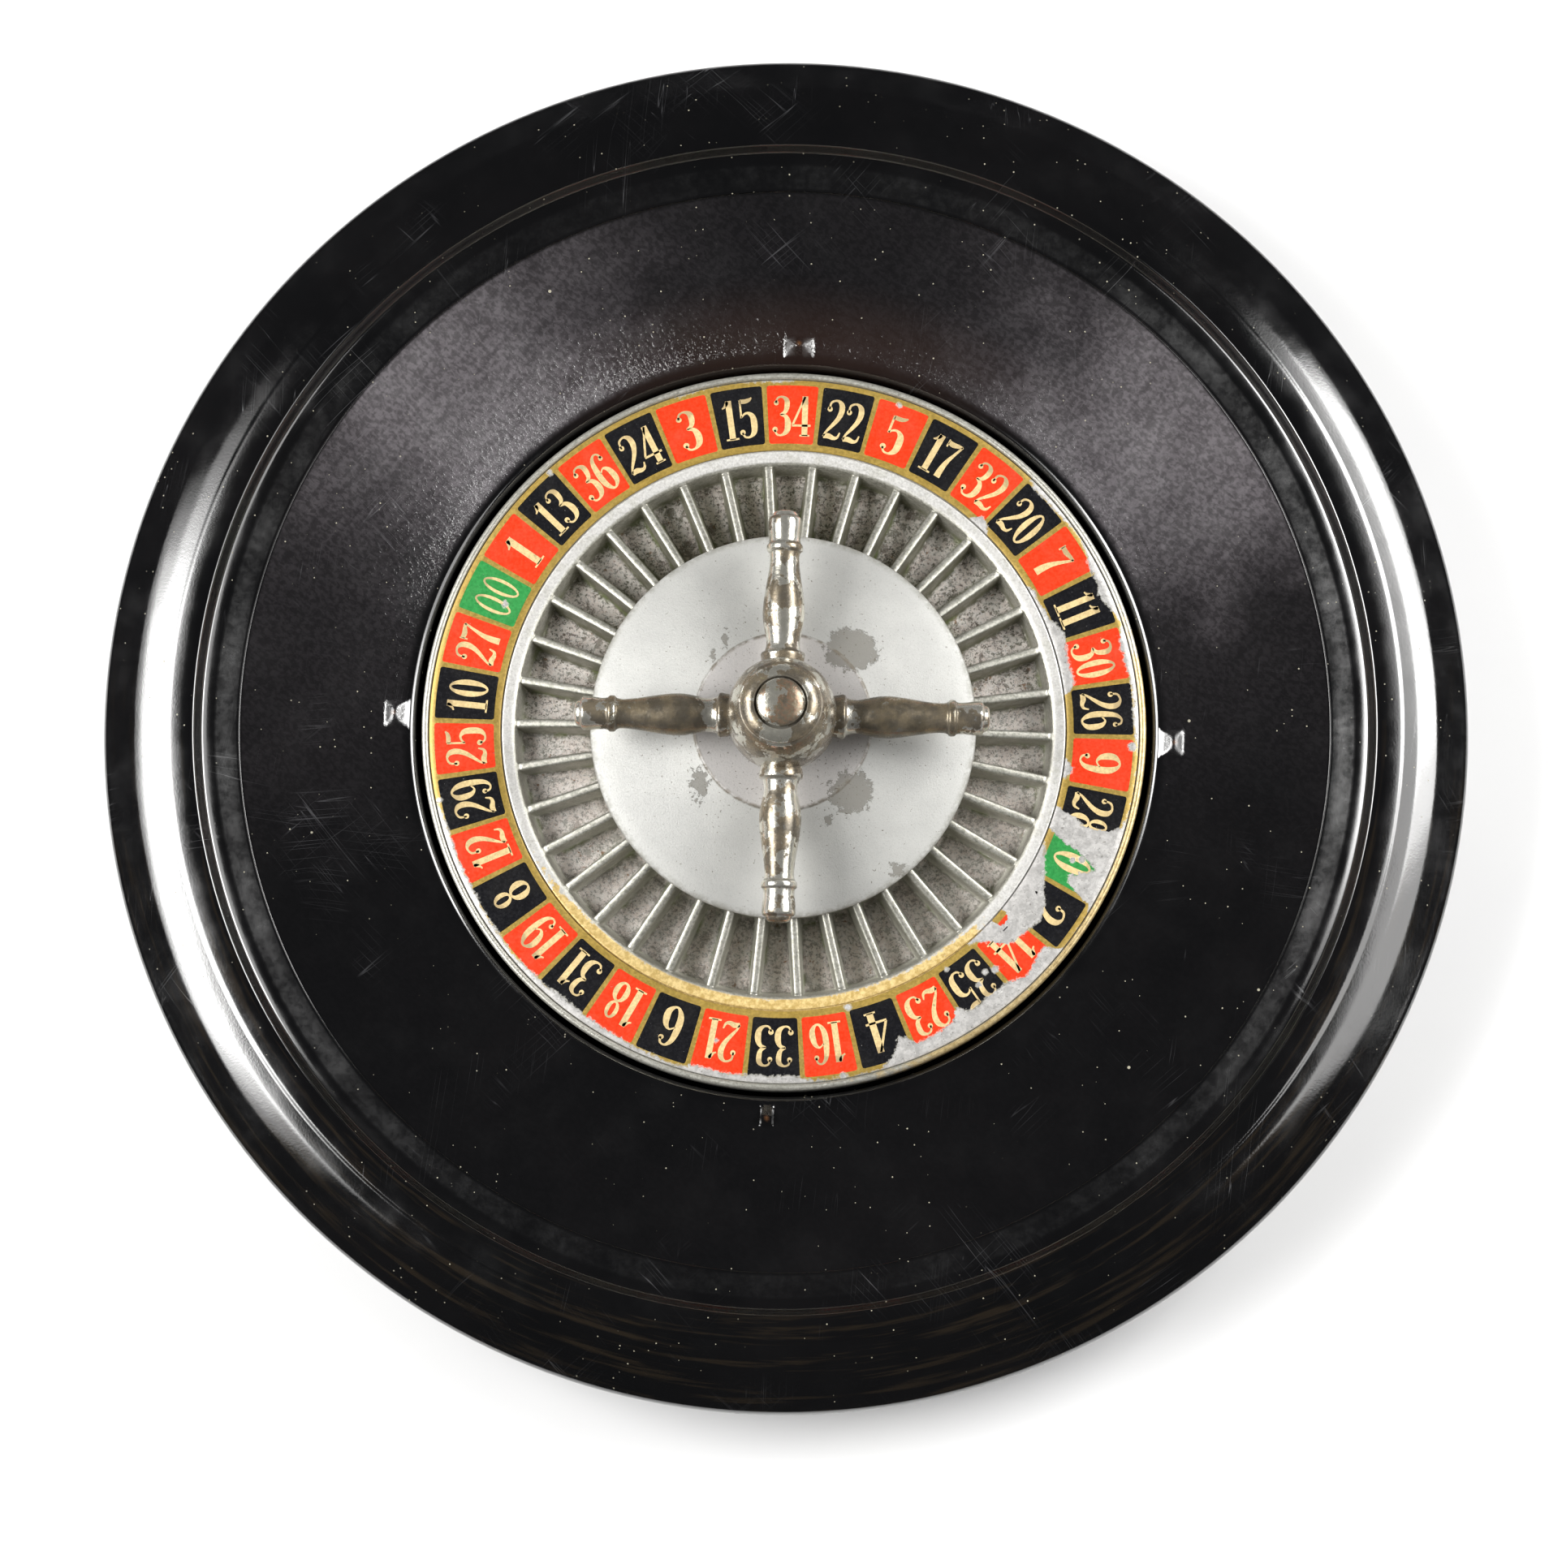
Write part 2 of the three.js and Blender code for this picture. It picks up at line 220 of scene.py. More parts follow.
# ---------------------------------------------------------------- material helpers
class Wire:
    """A node's output. Adding wires or numbers, and so on, makes a math node."""

    def __init__(self, graph, socket):
        self.graph, self.socket = graph, socket

    def __add__(self, other):
        return self.graph.math("ADD", self, other)

    def __radd__(self, other):
        return self.graph.math("ADD", other, self)

    def __sub__(self, other):
        return self.graph.math("SUBTRACT", self, other)

    def __rsub__(self, other):
        return self.graph.math("SUBTRACT", other, self)

    def __mul__(self, other):
        return self.graph.math("MULTIPLY", self, other)

    def __rmul__(self, other):
        return self.graph.math("MULTIPLY", other, self)

    def __truediv__(self, other):
        return self.graph.math("DIVIDE", self, other)


class Graph:
    """Short names for wiring nodes."""

    def __init__(self, tree, made=None):
        self.tree, self.made = tree, made

    def node(self, kind, **settings):
        made = self.tree.nodes.new(kind)
        for key, value in settings.items():
            setattr(made, key, value)
        return made

    def feed(self, socket, value):
        if isinstance(value, Wire):
            self.tree.links.new(value.socket, socket)
        elif isinstance(value, tuple) and len(value) == 3 and socket.type == "RGBA":
            socket.default_value = (*value, 1.0)
        elif value is not None:
            socket.default_value = value

    def out(self, node, inputs, output=0):
        """Feeds inputs, given by number or name, and gives one output."""
        for key, value in inputs.items():
            self.feed(node.inputs[key], value)
        return Wire(self, node.outputs[output])

    def math(self, operation, a, b=None, clamp=False):
        return self.out(self.node("ShaderNodeMath", operation=operation, use_clamp=clamp), {0: a, 1: b})

    def most(self, a, b):
        return self.math("MAXIMUM", a, b)

    def least(self, a, b):
        return self.math("MINIMUM", a, b)

    def size(self, a):
        return self.math("ABSOLUTE", a)

    def root(self, a):
        return self.math("SQRT", a)

    def fract(self, a):
        return self.math("FRACT", a)

    def clamp(self, a):
        return self.math("ADD", a, 0.0, clamp=True)

    def vector(self, operation, a, b=None, scale=None):
        output = "Value" if operation == "LENGTH" else "Vector"
        n = self.node("ShaderNodeVectorMath", operation=operation)
        return self.out(n, {0: a, 1: b, 3: scale}, output)

    def colour(self, factor, a, b):
        return self.out(self.node("ShaderNodeMix", data_type="RGBA"), {0: factor, 6: a, 7: b}, 2)

    def blend(self, factor, a, b):
        return self.out(self.node("ShaderNodeMix", data_type="FLOAT"), {0: factor, 2: a, 3: b})

    def noise(self, vector, scale, detail=2.0, rough=0.5, distortion=0.0):
        return self.out(self.node("ShaderNodeTexNoise"), {
            "Vector": vector, "Scale": scale, "Detail": detail, "Roughness": rough, "Distortion": distortion})

    def cells(self, vector, scale):
        """Distance from the middle of the nearest cell, and the cell's random colour."""
        n = self.node("ShaderNodeTexVoronoi")
        return self.out(n, {"Vector": vector, "Scale": scale}, "Distance"), Wire(self, n.outputs["Color"])

    def step(self, value, low, high, to_low=0.0, to_high=1.0):
        """Smooth change from to_low to to_high as value goes from low to high."""
        n = self.node("ShaderNodeMapRange", interpolation_type="SMOOTHSTEP")
        return self.out(n, dict(enumerate((value, low, high, to_low, to_high))))

    def patches(self, spot, scale, low, high, detail=4.0, rough=0.7):
        """Noise made into patches: 0 where it is under low, 1 where it is over high."""
        return self.step(self.noise(spot, scale, detail, rough), low, high)

    def split(self, vector):
        n = self.node("ShaderNodeSeparateXYZ")
        self.feed(n.inputs[0], vector)
        return [Wire(self, socket) for socket in n.outputs]

    def join(self, x, y, z):
        return self.out(self.node("ShaderNodeCombineXYZ"), {0: x, 1: y, 2: z})

    def attribute(self, name):
        return self.out(self.node("ShaderNodeAttribute", attribute_name=name), {}, "Color")

    def curve(self, value, points):
        n = self.node("ShaderNodeFloatCurve")
        line = n.mapping.curves[0]
        line.points[0].location = points[0]
        line.points[-1].location = points[-1]
        for x, y in points[1:-1]:
            line.points.new(x, y)
        for p in line.points:
            p.handle_type = "VECTOR"
        n.mapping.update()
        return self.out(n, {"Value": value})

    def place(self):
        """Object coordinates in mm."""
        here = self.out(self.node("ShaderNodeTexCoord"), {}, "Object")
        return self.vector("SCALE", here, scale=1.0 / MM)

    def round_place(self, spot):
        """Radius in mm, turn from 0 to 1 anticlockwise from +X, and the three coordinates."""
        x, y, z = self.split(spot)
        turn = self.fract(self.math("ARCTAN2", y, x) / math.tau)
        return self.root(x * x + y * y), turn, x, y, z

    def bump(self, height):
        """Relief from a height in mm."""
        return self.out(self.node("ShaderNodeBump"), {"Height": height, "Distance": MM, "Strength": 1.0})

    def finish(self, **sockets):
        """Wires the shader and gives the finished material."""
        shader = self.node("ShaderNodeBsdfPrincipled")
        for key, value in sockets.items():
            self.feed(shader.inputs[key.replace("_", " ")], value)
        out = self.node("ShaderNodeOutputMaterial")
        self.tree.links.new(shader.outputs[0], out.inputs[0])
        return self.made


def material(name):
    made = bpy.data.materials.new(name)
    made.use_nodes = True
    made.node_tree.nodes.clear()
    return Graph(made.node_tree, made)


# ---------------------------------------------------------------- materials
def bakelite():
    g = material("black_bakelite")
    spot = g.place()
    r, turn, x, y, z = g.round_place(spot)
    on_slope = g.step(r, 83.8, 86.0) * g.step(r, 121.3, 120.4)
    # Haze: two dull fields on the far half of the slope, with a streaky edge. Their lighter base colour is a
    # painted sheen.
    loose = (g.noise(spot, 0.035, 4.0, 0.65) - 0.5) * 0.07
    field = g.curve(g.clamp(turn + loose), [
        (0.0, 0.07), (0.04, 0.11), (0.072, 0.80), (0.10, 1.0), (0.132, 0.84), (0.165, 0.28), (0.205, 0.07),
        (0.25, 0.05), (0.29, 0.11), (0.325, 0.46), (0.355, 0.90), (0.388, 0.96), (0.42, 0.46), (0.455, 0.14),
        (0.50, 0.08), (0.55, 0.01), (0.95, 0.01), (1.0, 0.07),
    ])
    across = x * 0.62 + y * 0.78
    along = x * 0.78 - y * 0.62
    streak = g.noise(g.join(along * 0.9, across * 0.05, z), 0.8, 4.0, 0.7)
    haze_and_painted_sheen = field * on_slope * g.step(streak, 0.25, 0.75, 0.80, 1.12)
    # Orange-peel ripples near the rotor well, strongest on the far half.
    near_well = g.step(r, 116.0, 86.0, 0.12, 1.0)
    far_half = g.curve(turn, [
        (0.0, 0.16), (0.06, 0.30), (0.16, 0.42), (0.22, 0.34), (0.27, 0.46), (0.31, 0.66), (0.42, 0.62),
        (0.46, 0.36), (0.50, 0.22), (0.56, 0.12), (0.94, 0.08), (1.0, 0.16),
    ])
    leaning = g.join(across * 1.25, along * 0.75, z)
    ripple = g.noise(leaning, 0.95, 3.0, 0.6, 0.4)
    pits = g.noise(leaning, 1.7, 2.0, 0.6)
    close = g.step(r, 93.0, 86.0, 0.12, 0.34)
    peel = (ripple * 0.46 + pits * close) * near_well * far_half * on_slope
    swell = g.noise(spot, 0.045, 2.0) * 0.10
    fine = g.noise(spot, 2.4, 2.0) * 0.0035
    # The ball track leans in a little more than the slope, and the rim is faintly gritty.
    lean = (g.least(g.most(r, 121.6), 126.5) - 121.6) * 0.10
    grit = g.noise(spot, 1.8, 3.0, 0.7) * g.step(r, 128.0, 133.0, 0.0, 0.012)
    relief = peel + swell + fine + lean + grit
    normal = g.bump(relief)
    # A few long faint scuffs: nearly level ones at the sides, slanting ones elsewhere.
    marks = None
    level = g.step(g.size(y + 6.0), 42.0, 18.0)
    for angle, shift_by, wide, where in (
        (0.10, 3.0, 0.012, level), (-0.12, 17.0, 0.010, level), (0.75, 5.0, 0.007, None),
        (2.30, 11.0, 0.006, None), (1.45, 23.0, 0.004, None),
    ):
        c, s = math.cos(angle), math.sin(angle)
        bend = g.noise(spot, 0.012, 1.0) * 14.0
        run = x * c + y * s
        side = y * c - x * s
        way = g.join(run * 0.020, side + bend, shift_by)
        line = g.step(g.size(g.noise(way, 0.55, 1.0, 0.4) - 0.5), wide, 0.0)
        line = line * g.step(g.noise(g.join(x, y, shift_by), 0.045, 2.0), 0.56, 0.70)
        if where is not None:
            line = line * where
        marks = line if marks is None else g.most(marks, line)
    # Dust: many tiny pale specks and a few larger crumbs.
    dust = None
    for scale, least, most in ((0.62, 0.60, 0.12), (0.21, 0.86, 0.085)):
        gap, tint = g.cells(spot, scale)
        pick = g.split(tint)[0]
        size = g.step(pick, least, 1.0, 0.0, most)
        some = g.step(size - gap, 0.0, 0.02)
        dust = some if dust is None else g.most(dust, some)
    dusty = g.patches(spot, 0.03, 0.38, 0.54, 3.0, 0.6)
    dust = dust * dusty
    film = g.patches(spot, 0.025, 0.35, 0.75, 4.0, 0.65)
    base = g.colour(film, (0.0011, 0.0011, 0.0014), (0.0028, 0.0025, 0.0028))
    # A painted brownish reflection on the slope at the far edge of the well.
    brown = g.step(y, 60.0, 92.0) * g.step(r, 104.0, 86.0)
    base = g.colour(brown * 0.8, base, (0.020, 0.010, 0.007))
    # Painted sheen and highlights: the hazy fields get a lighter purple-grey base colour, lightest on the
    # ripples' crests.
    crest = g.step(ripple, 0.40, 0.62)
    painted_sheen_tone = g.colour(crest, (0.060, 0.053, 0.057), (0.124, 0.111, 0.120))
    base = g.colour(haze_and_painted_sheen * 0.92, base, painted_sheen_tone)
    # Brownish runs round the rim, along the near edge: partly stains, partly a painted reflection.
    runs_and_painted_reflection = g.noise(g.join(r * 0.55, turn * 22.0, 4.0), 1.0, 4.0, 0.65)
    runs_and_painted_reflection = g.step(runs_and_painted_reflection, 0.50, 0.66) * g.step(r, 128.0, 132.0) * g.step(y, 30.0, -60.0)
    base = g.colour(runs_and_painted_reflection * 0.8, base, (0.017, 0.012, 0.007))
    base = g.colour(marks * 0.11, base, (0.30, 0.30, 0.32))
    base = g.colour(dust * 0.8, base, (0.40, 0.37, 0.26))
    smear = g.noise(spot, 0.08, 4.0, 0.6)
    rough = g.step(smear, 0.30, 0.78, 0.09, 0.19)
    # The ball has dulled its track.
    track = g.step(r, 121.4, 122.0) * g.step(r, 127.2, 126.2)
    patchy = g.noise(spot, 0.5, 4.0, 0.7)
    rough = rough + track * g.step(patchy, 0.3, 0.7, 0.04, 0.11)
    rough = g.clamp(rough + haze_and_painted_sheen * 0.25 + marks * 0.18 + dust * 0.6)
    # The deflectors' rubbed tips come from a painted mask.
    worn, dull = g.split(g.attribute("worn"))[:2]
    base = g.colour(worn * 0.8, base, (0.17, 0.075, 0.03))
    rough = g.clamp(rough + dull * g.step(patchy, 0.3, 0.7, 0.16, 0.36))
    return g.finish(Base_Color=base, Roughness=rough, Normal=normal, IOR=1.62, Specular_IOR_Level=1.0)


def label_wear():
    """Where the printing is gone from the number ring, by place round the ring."""
    tree = bpy.data.node_groups.new("label_wear", "ShaderNodeTree")
    for name in ("Bare", "Edge", "Fade"):
        tree.interface.new_socket(name=name, in_out="OUTPUT", socket_type="NodeSocketFloat")
    g = Graph(tree)
    spot = g.place()
    r, turn = g.round_place(spot)[:2]
    # Pocket count clockwise, 0 to 38, in which whole numbers are the panels' edges.
    jitter = g.noise(g.vector("ADD", spot, (31.0, 7.0, 0.0)), 0.9, 5.0, 0.75)
    jitter = (jitter - 0.5) * (0.24 / POCKETS)
    count = g.fract(TOP_POCKET / 360.0 + 7.5 / POCKETS + jitter - turn)
    # Depth of the loss from the outer edge, in mm, at places round the ring.
    outer = [
        (0.0, 0), (5.0, 0), (5.4, 0.9), (6.5, 0.4), (7.4, 1.2), (8.2, 0), (11.8, 0), (12.2, 2.0),
        (12.9, 1.5), (13.3, 0.6), (13.8, 2.2), (14.3, 2.6), (14.45, 3.9), (14.6, 2.3), (15.0, 1.0),
        (15.3, 2.3), (16.2, 1.7), (16.9, 1.9), (17.3, 0.4), (18.5, 0.7), (18.64, 2.0), (18.73, 4.0),
        (18.84, 18), (19.07, 16.5), (19.2, 12.4), (19.29, 7.6), (19.34, 4.6), (19.44, 3.4), (19.58, 5.4),
        (19.7, 8.6), (19.83, 9.0), (19.92, 6.4), (19.99, 3.6), (20.06, 0.5), (20.92, 0.5), (20.99, 4.4),
        (21.2, 4.3), (21.42, 3.5), (21.6, 2.5), (21.76, 2.9), (21.92, 4.5), (22.4, 4.6), (22.85, 4.2),
        (23.0, 7.0), (23.15, 4.2), (23.9, 3.6), (24.15, 7.2), (24.35, 3.2), (24.6, 0.7), (25.8, 0.9),
        (26.2, 2.4), (27.2, 2.0), (27.9, 2.4), (28.2, 0.8), (28.8, 1.7), (30.5, 2.4), (31.5, 1.6),
        (33.0, 2.1), (34.4, 1.6), (35.1, 0), (38.0, 0),
    ]
    # And from the inner edge.
    inner = [
        (0.0, 0), (11.6, 0), (11.85, 2.2), (12.1, 1.6), (12.3, 0), (13.5, 0), (13.75, 1.5), (14.0, 0.3),
        (14.5, 1.2), (14.9, 2.9), (15.5, 2.0), (15.95, 2.6), (16.2, 0), (17.4, 0), (17.6, 1.7),
        (17.85, 1.5), (18.0, 0), (18.52, 0), (18.60, 4.5), (18.72, 6.8), (18.82, 9.0), (18.88, 3.0),
        (19.0, 0), (19.4, 0.3), (19.61, 1.4), (19.88, 3.2), (20.05, 3.8), (20.21, 4.7), (20.37, 6.2),
        (20.53, 7.5), (20.73, 8.1), (20.95, 7.6), (21.42, 6.4), (21.56, 5.6), (21.62, 3.6), (21.85, 1.8),
        (22.0, 0.3), (22.6, 0), (38.0, 0),
    ]

    def depth(table):
        """A table's reading. The curve's 0 to 1 stands for -2 to 18 mm, and no loss is put below 0."""
        points = [(u / POCKETS, (d + 2.0) / 20.0) if d else (u / POCKETS, 0.02) for u, d in table]
        return g.curve(count, points) * 20.0 - 2.0

    wave = (g.noise(spot, 0.22, 2.0, 0.6) - 0.5) * 1.3
    tooth = (g.noise(spot, 1.1, 5.0, 0.75) - 0.5) * 2.7
    ragged = wave + tooth
    from_out = 80.1 - r
    from_in = r - LABEL_INNER_R
    gone_out = depth(outer) + ragged - from_out
    gone_in = depth(inner) + ragged - from_in
    gone = g.most(gone_out, gone_in)
    # Single chips: pocket count, radius, size.
    chips = [
        (17.16, 77.9, 0.8), (22.17, 70.6, 0.45), (22.0, 71.6, 0.75), (22.42, 71.9, 0.4), (22.75, 65.1, 0.4),
        (24.96, 64.0, 0.7), (25.3, 79.0, 0.8), (0.42, 68.6, 0.55), (19.45, 70.9, 0.5), (27.6, 71.4, 0.25),
        (9.4, 77.9, 0.4), (34.6, 78.6, 0.6), (2.9, 78.5, 0.5), (19.36, 72.6, 0.7), (20.5, 64.9, 0.8),
    ]
    small = ragged * 0.62
    for u, radius, size in chips:
        cx, cy = polar(radius, TOP_POCKET - (u - 7.5) * PITCH)
        away = g.vector("LENGTH", g.vector("SUBTRACT", spot, (cx, cy, LABEL_TOP_Z)))
        gone = g.most(gone, size - away + small)
    # A flake of printing that still holds inside the widest tear.
    cx, cy = polar(64.2, TOP_POCKET - (21.2 - 7.5) * PITCH)
    away = g.vector("LENGTH", g.vector("SUBTRACT", spot, (cx, cy, LABEL_TOP_Z)))
    holds = 1.7 - away + ragged * 0.8
    gone = gone - g.step(holds, -0.1, 0.1) * 9.0
    pinholes = g.patches(spot, 1.6, 0.735, 0.75, 3.0, 0.6)
    bare = g.most(g.step(gone, -0.04, 0.04), pinholes * 0.8)
    edge = g.step(gone, -0.42, -0.05) * g.step(gone, 0.12, 0.0)
    fade = g.patches(spot, 0.13, 0.42, 0.74, 4.0, 0.65)
    out = g.node("NodeGroupOutput")
    for socket, value in zip(out.inputs, (bare, edge, fade)):
        g.feed(socket, value)
    return tree


def printed(
    name, ink, wear, metal=0.0, shine=0.34, tired=(0.30, 0.28, 0.22), grain=0.06, ends=0.0, lumps=0.012
):
    """Ink on the number ring, with bare metal where it has come off.

    tired is the faded ink and grain how much of it shows; ends tarnishes the outer ends of the numerals.
    """
    g = material(name)
    spot = g.place()
    n = g.node("ShaderNodeGroup")
    n.node_tree = wear
    bare, edge, fade = [Wire(g, socket) for socket in n.outputs]
    mottle = g.noise(spot, 1.7, 4.0, 0.65)
    dark = tuple(c * 0.70 for c in ink)
    base = g.colour(g.step(mottle, 0.30, 0.72), dark, ink)
    base = g.colour(fade * grain, base, tired)
    dirt = g.patches(spot, 0.8, 0.60, 0.72, 5.0, 0.7)
    base = g.colour(dirt * 0.30, base, (0.022, 0.02, 0.016))
    if ends:
        # The outer ends of the numerals have tarnished.
        r = g.round_place(spot)[0]
        loose = (g.noise(spot, 0.6, 3.0, 0.6) - 0.5) * 2.6
        late = g.step(r + loose, 73.6, 74.6)
        late = late * g.step(g.noise(spot, 0.05, 2.0), 0.38, 0.56, 0.25, 1.0)
        base = g.colour(late * ends, base, (0.36, 0.27, 0.14))
    base = g.colour(edge * 0.55, base, (0.72, 0.70, 0.62))
    cloud = g.patches(spot, 0.7, 0.35, 0.66)
    metal_tone = g.colour(cloud, (0.43, 0.42, 0.405), (0.63, 0.615, 0.595))
    pits = g.patches(spot, 1.3, 0.595, 0.66)
    metal_tone = g.colour(pits * 0.62, metal_tone, (0.15, 0.14, 0.12))
    glint = g.patches(spot, 1.7, 0.36, 0.30, 3.0, 0.7)
    metal_tone = g.colour(glint, metal_tone, (0.86, 0.85, 0.82))
    base = g.colour(bare, base, metal_tone)
    shiny = g.step(mottle, 0.3, 0.7, shine - 0.06, shine + 0.10)
    rough = g.blend(bare, shiny, g.step(mottle, 0.3, 0.7, 0.36, 0.55))
    metallic = g.blend(bare, metal, 0.35)
    normal = g.bump((1.0 - bare) * 0.16 + mottle * lumps)
    return g.finish(Base_Color=base, Metallic=metallic, Roughness=rough, Normal=normal)


def cast_metal():
    """Silver casting: soft bright fret tops and rim, rough pale pocket floors with grime. Painted shade
    darkens the far pockets and fret flanks, painted light lightens the near walls, and painted glints dot the
    floors.
    """
    g = material("cast_metal")
    spot = g.place()
    r, turn, x, y, z = g.round_place(spot)
    trough = g.step(r, 60.6, 60.0) * g.step(r, 40.0, 41.0)
    low = g.step(z, FLOOR_Z + 1.3, FLOOR_Z + 0.3) * trough
    wall = g.step(z, FLOOR_Z + 4.6, FLOOR_Z + 0.4) * trough
    grain = g.noise(spot, 1.9, 5.0, 0.72)
    soft = g.noise(spot, 0.35, 4.0, 0.6)
    silver = g.colour(g.step(grain, 0.32, 0.70), (0.42, 0.41, 0.355), (0.62, 0.61, 0.55))
    streak = g.noise(g.join(x * 0.9, y * 0.9, z * 3.0), 1.1, 5.0, 0.75)
    dull = g.step(streak, 0.47, 0.60) * trough
    silver = g.colour(dull * 0.55, silver, (0.20, 0.20, 0.155))
    # Pinkish grey floors, speckled black, with a few rusty and mossy spots.
    floor = g.colour(g.step(soft, 0.36, 0.64), (0.92, 0.83, 0.77), (1.0, 0.94, 0.89))
    speck = g.patches(spot, 1.25, 0.515, 0.565, 5.0, 0.86)
    stain = g.patches(spot, 0.30, 0.55, 0.61, 4.0, 0.72)
    speck = g.most(speck, stain * 0.75)
    dirt_tone = g.colour(g.step(soft, 0.40, 0.60), (0.100, 0.066, 0.038), (0.082, 0.080, 0.026))
    # Dirt and painted shade both grow towards the far side (+Y), so the near pockets stay lighter.
    far_dirt_and_shade = g.step(y, -24.0, 26.0, 0.22, 1.0)
    speck = speck * g.step(far_dirt_and_shade, 0.22, 1.0, 0.62, 0.90)
    floor = g.colour(speck, floor, dirt_tone)
    # Painted glints: small pale spots on the floors.
    light = g.patches(spot, 2.9, 0.58, 0.66, 2.0, 0.6)
    floor = g.colour(light * 0.7, floor, (0.96, 0.94, 0.93))
    rust = g.patches(spot, 0.42, 0.635, 0.69)
    floor = g.colour(rust * 0.8, floor, (0.34, 0.16, 0.055))
    base = g.colour(low, silver, floor)
    grime = wall * g.step(soft, 0.30, 0.62, 0.30, 1.0) * (1.0 - low * 0.9) * far_dirt_and_shade
    base = g.colour(grime * 0.70, base, (0.18, 0.175, 0.10))
    corner, steep = g.split(g.attribute("corner"))[:2]
    # Painted shade with an olive dirt tint: the frets' steep flanks go dark, mostly on the far side.
    shade = steep * far_dirt_and_shade * g.step(soft, 0.32, 0.60, 0.45, 1.0)
    # Painted light: the walls of the near pockets are lightened and made less metallic.
    near_wall_painted_light = (1.0 - far_dirt_and_shade) * wall * (1.0 - low)
    base = g.colour(near_wall_painted_light * 0.9, base, (0.74, 0.725, 0.645))
    base = g.colour(shade * 0.85, base, (0.165, 0.16, 0.095))
    dirty = corner * g.patches(spot, 0.75, 0.36, 0.56)
    dirty = dirty * (far_dirt_and_shade * 0.3 + 0.7)
    base = g.colour(dirty * 0.8, base, (0.065, 0.065, 0.032))
    moss = g.patches(spot, 0.17, 0.52, 0.64, 3.0, 0.6)
    base = g.colour(moss * corner * 0.55, base, (0.16, 0.21, 0.05))
    # The ledge inside the number ring keeps some of its gold paint, and so does the rim on one side.
    count = g.fract(TOP_POCKET / 360.0 + 7.5 / POCKETS - turn)
    ledge = g.step(r, 60.4, 60.8) * g.step(r, 63.4, 63.2)
    kept = g.curve(count, [
        (0.0, 0.30), (3.5 / POCKETS, 0.30), (4.5 / POCKETS, 0.44), (7.5 / POCKETS, 0.42),
        (8.6 / POCKETS, 0.30), (18.0 / POCKETS, 0.26), (21.0 / POCKETS, 0.30), (22.0 / POCKETS, 0.74),
        (27.0 / POCKETS, 0.86), (31.0 / POCKETS, 0.84), (33.0 / POCKETS, 0.50), (1.0, 0.32),
    ])
    pale = g.colour(g.step(grain, 0.35, 0.66), (0.56, 0.55, 0.525), (0.74, 0.73, 0.70))
    base = g.colour(ledge * g.step(soft, 0.34, 0.50, 0.45, 1.0), base, pale)
    inward = g.step(r, 61.6, 60.8) * 0.16
    gold = kept + g.noise(spot, 0.7, 4.0, 0.7) * 0.7 - 0.95
    gold = g.step(gold - inward, -0.03, 0.05) * ledge
    rim = g.step(r, 79.3, 79.8)
    rim_kept = g.curve(count, [
        (0.0, 0.30), (9.0 / POCKETS, 0.24), (13.5 / POCKETS, 0.34), (16.0 / POCKETS, 0.70),
        (23.0 / POCKETS, 0.72), (26.0 / POCKETS, 0.42), (32.0 / POCKETS, 0.30), (1.0, 0.40),
    ])
    rim_gold = rim_kept + soft * 0.6 - 0.86
    gold = g.most(gold, g.step(rim_gold, -0.05, 0.12) * rim * 0.8)
    leaf = g.colour(g.patches(spot, 0.9, 0.34, 0.66, 4.0, 0.65), (0.56, 0.38, 0.12), (0.86, 0.66, 0.30))
    base = g.colour(gold, base, leaf)
    pock = g.patches(spot, 1.3, 0.66, 0.72)
    pock = pock * (1.0 - trough * 0.4)
    base = g.colour(pock * 0.6, base, (0.12, 0.11, 0.09))
    rough = g.clamp(g.step(grain, 0.3, 0.7, 0.27, 0.44) + low * 0.30 + grime * 0.15)
    metallic = 0.66 - g.most(low, dirty) * 0.66
    metallic = g.clamp(metallic - near_wall_painted_light * 0.6)
    metallic = g.clamp(metallic - ledge * 0.40)
    relief = g.noise(spot, 1.6, 5.0, 0.75) * (low * 0.60 + 0.07)
    normal = g.bump(relief)
    return g.finish(Base_Color=base, Metallic=metallic, Roughness=rough, Normal=normal)


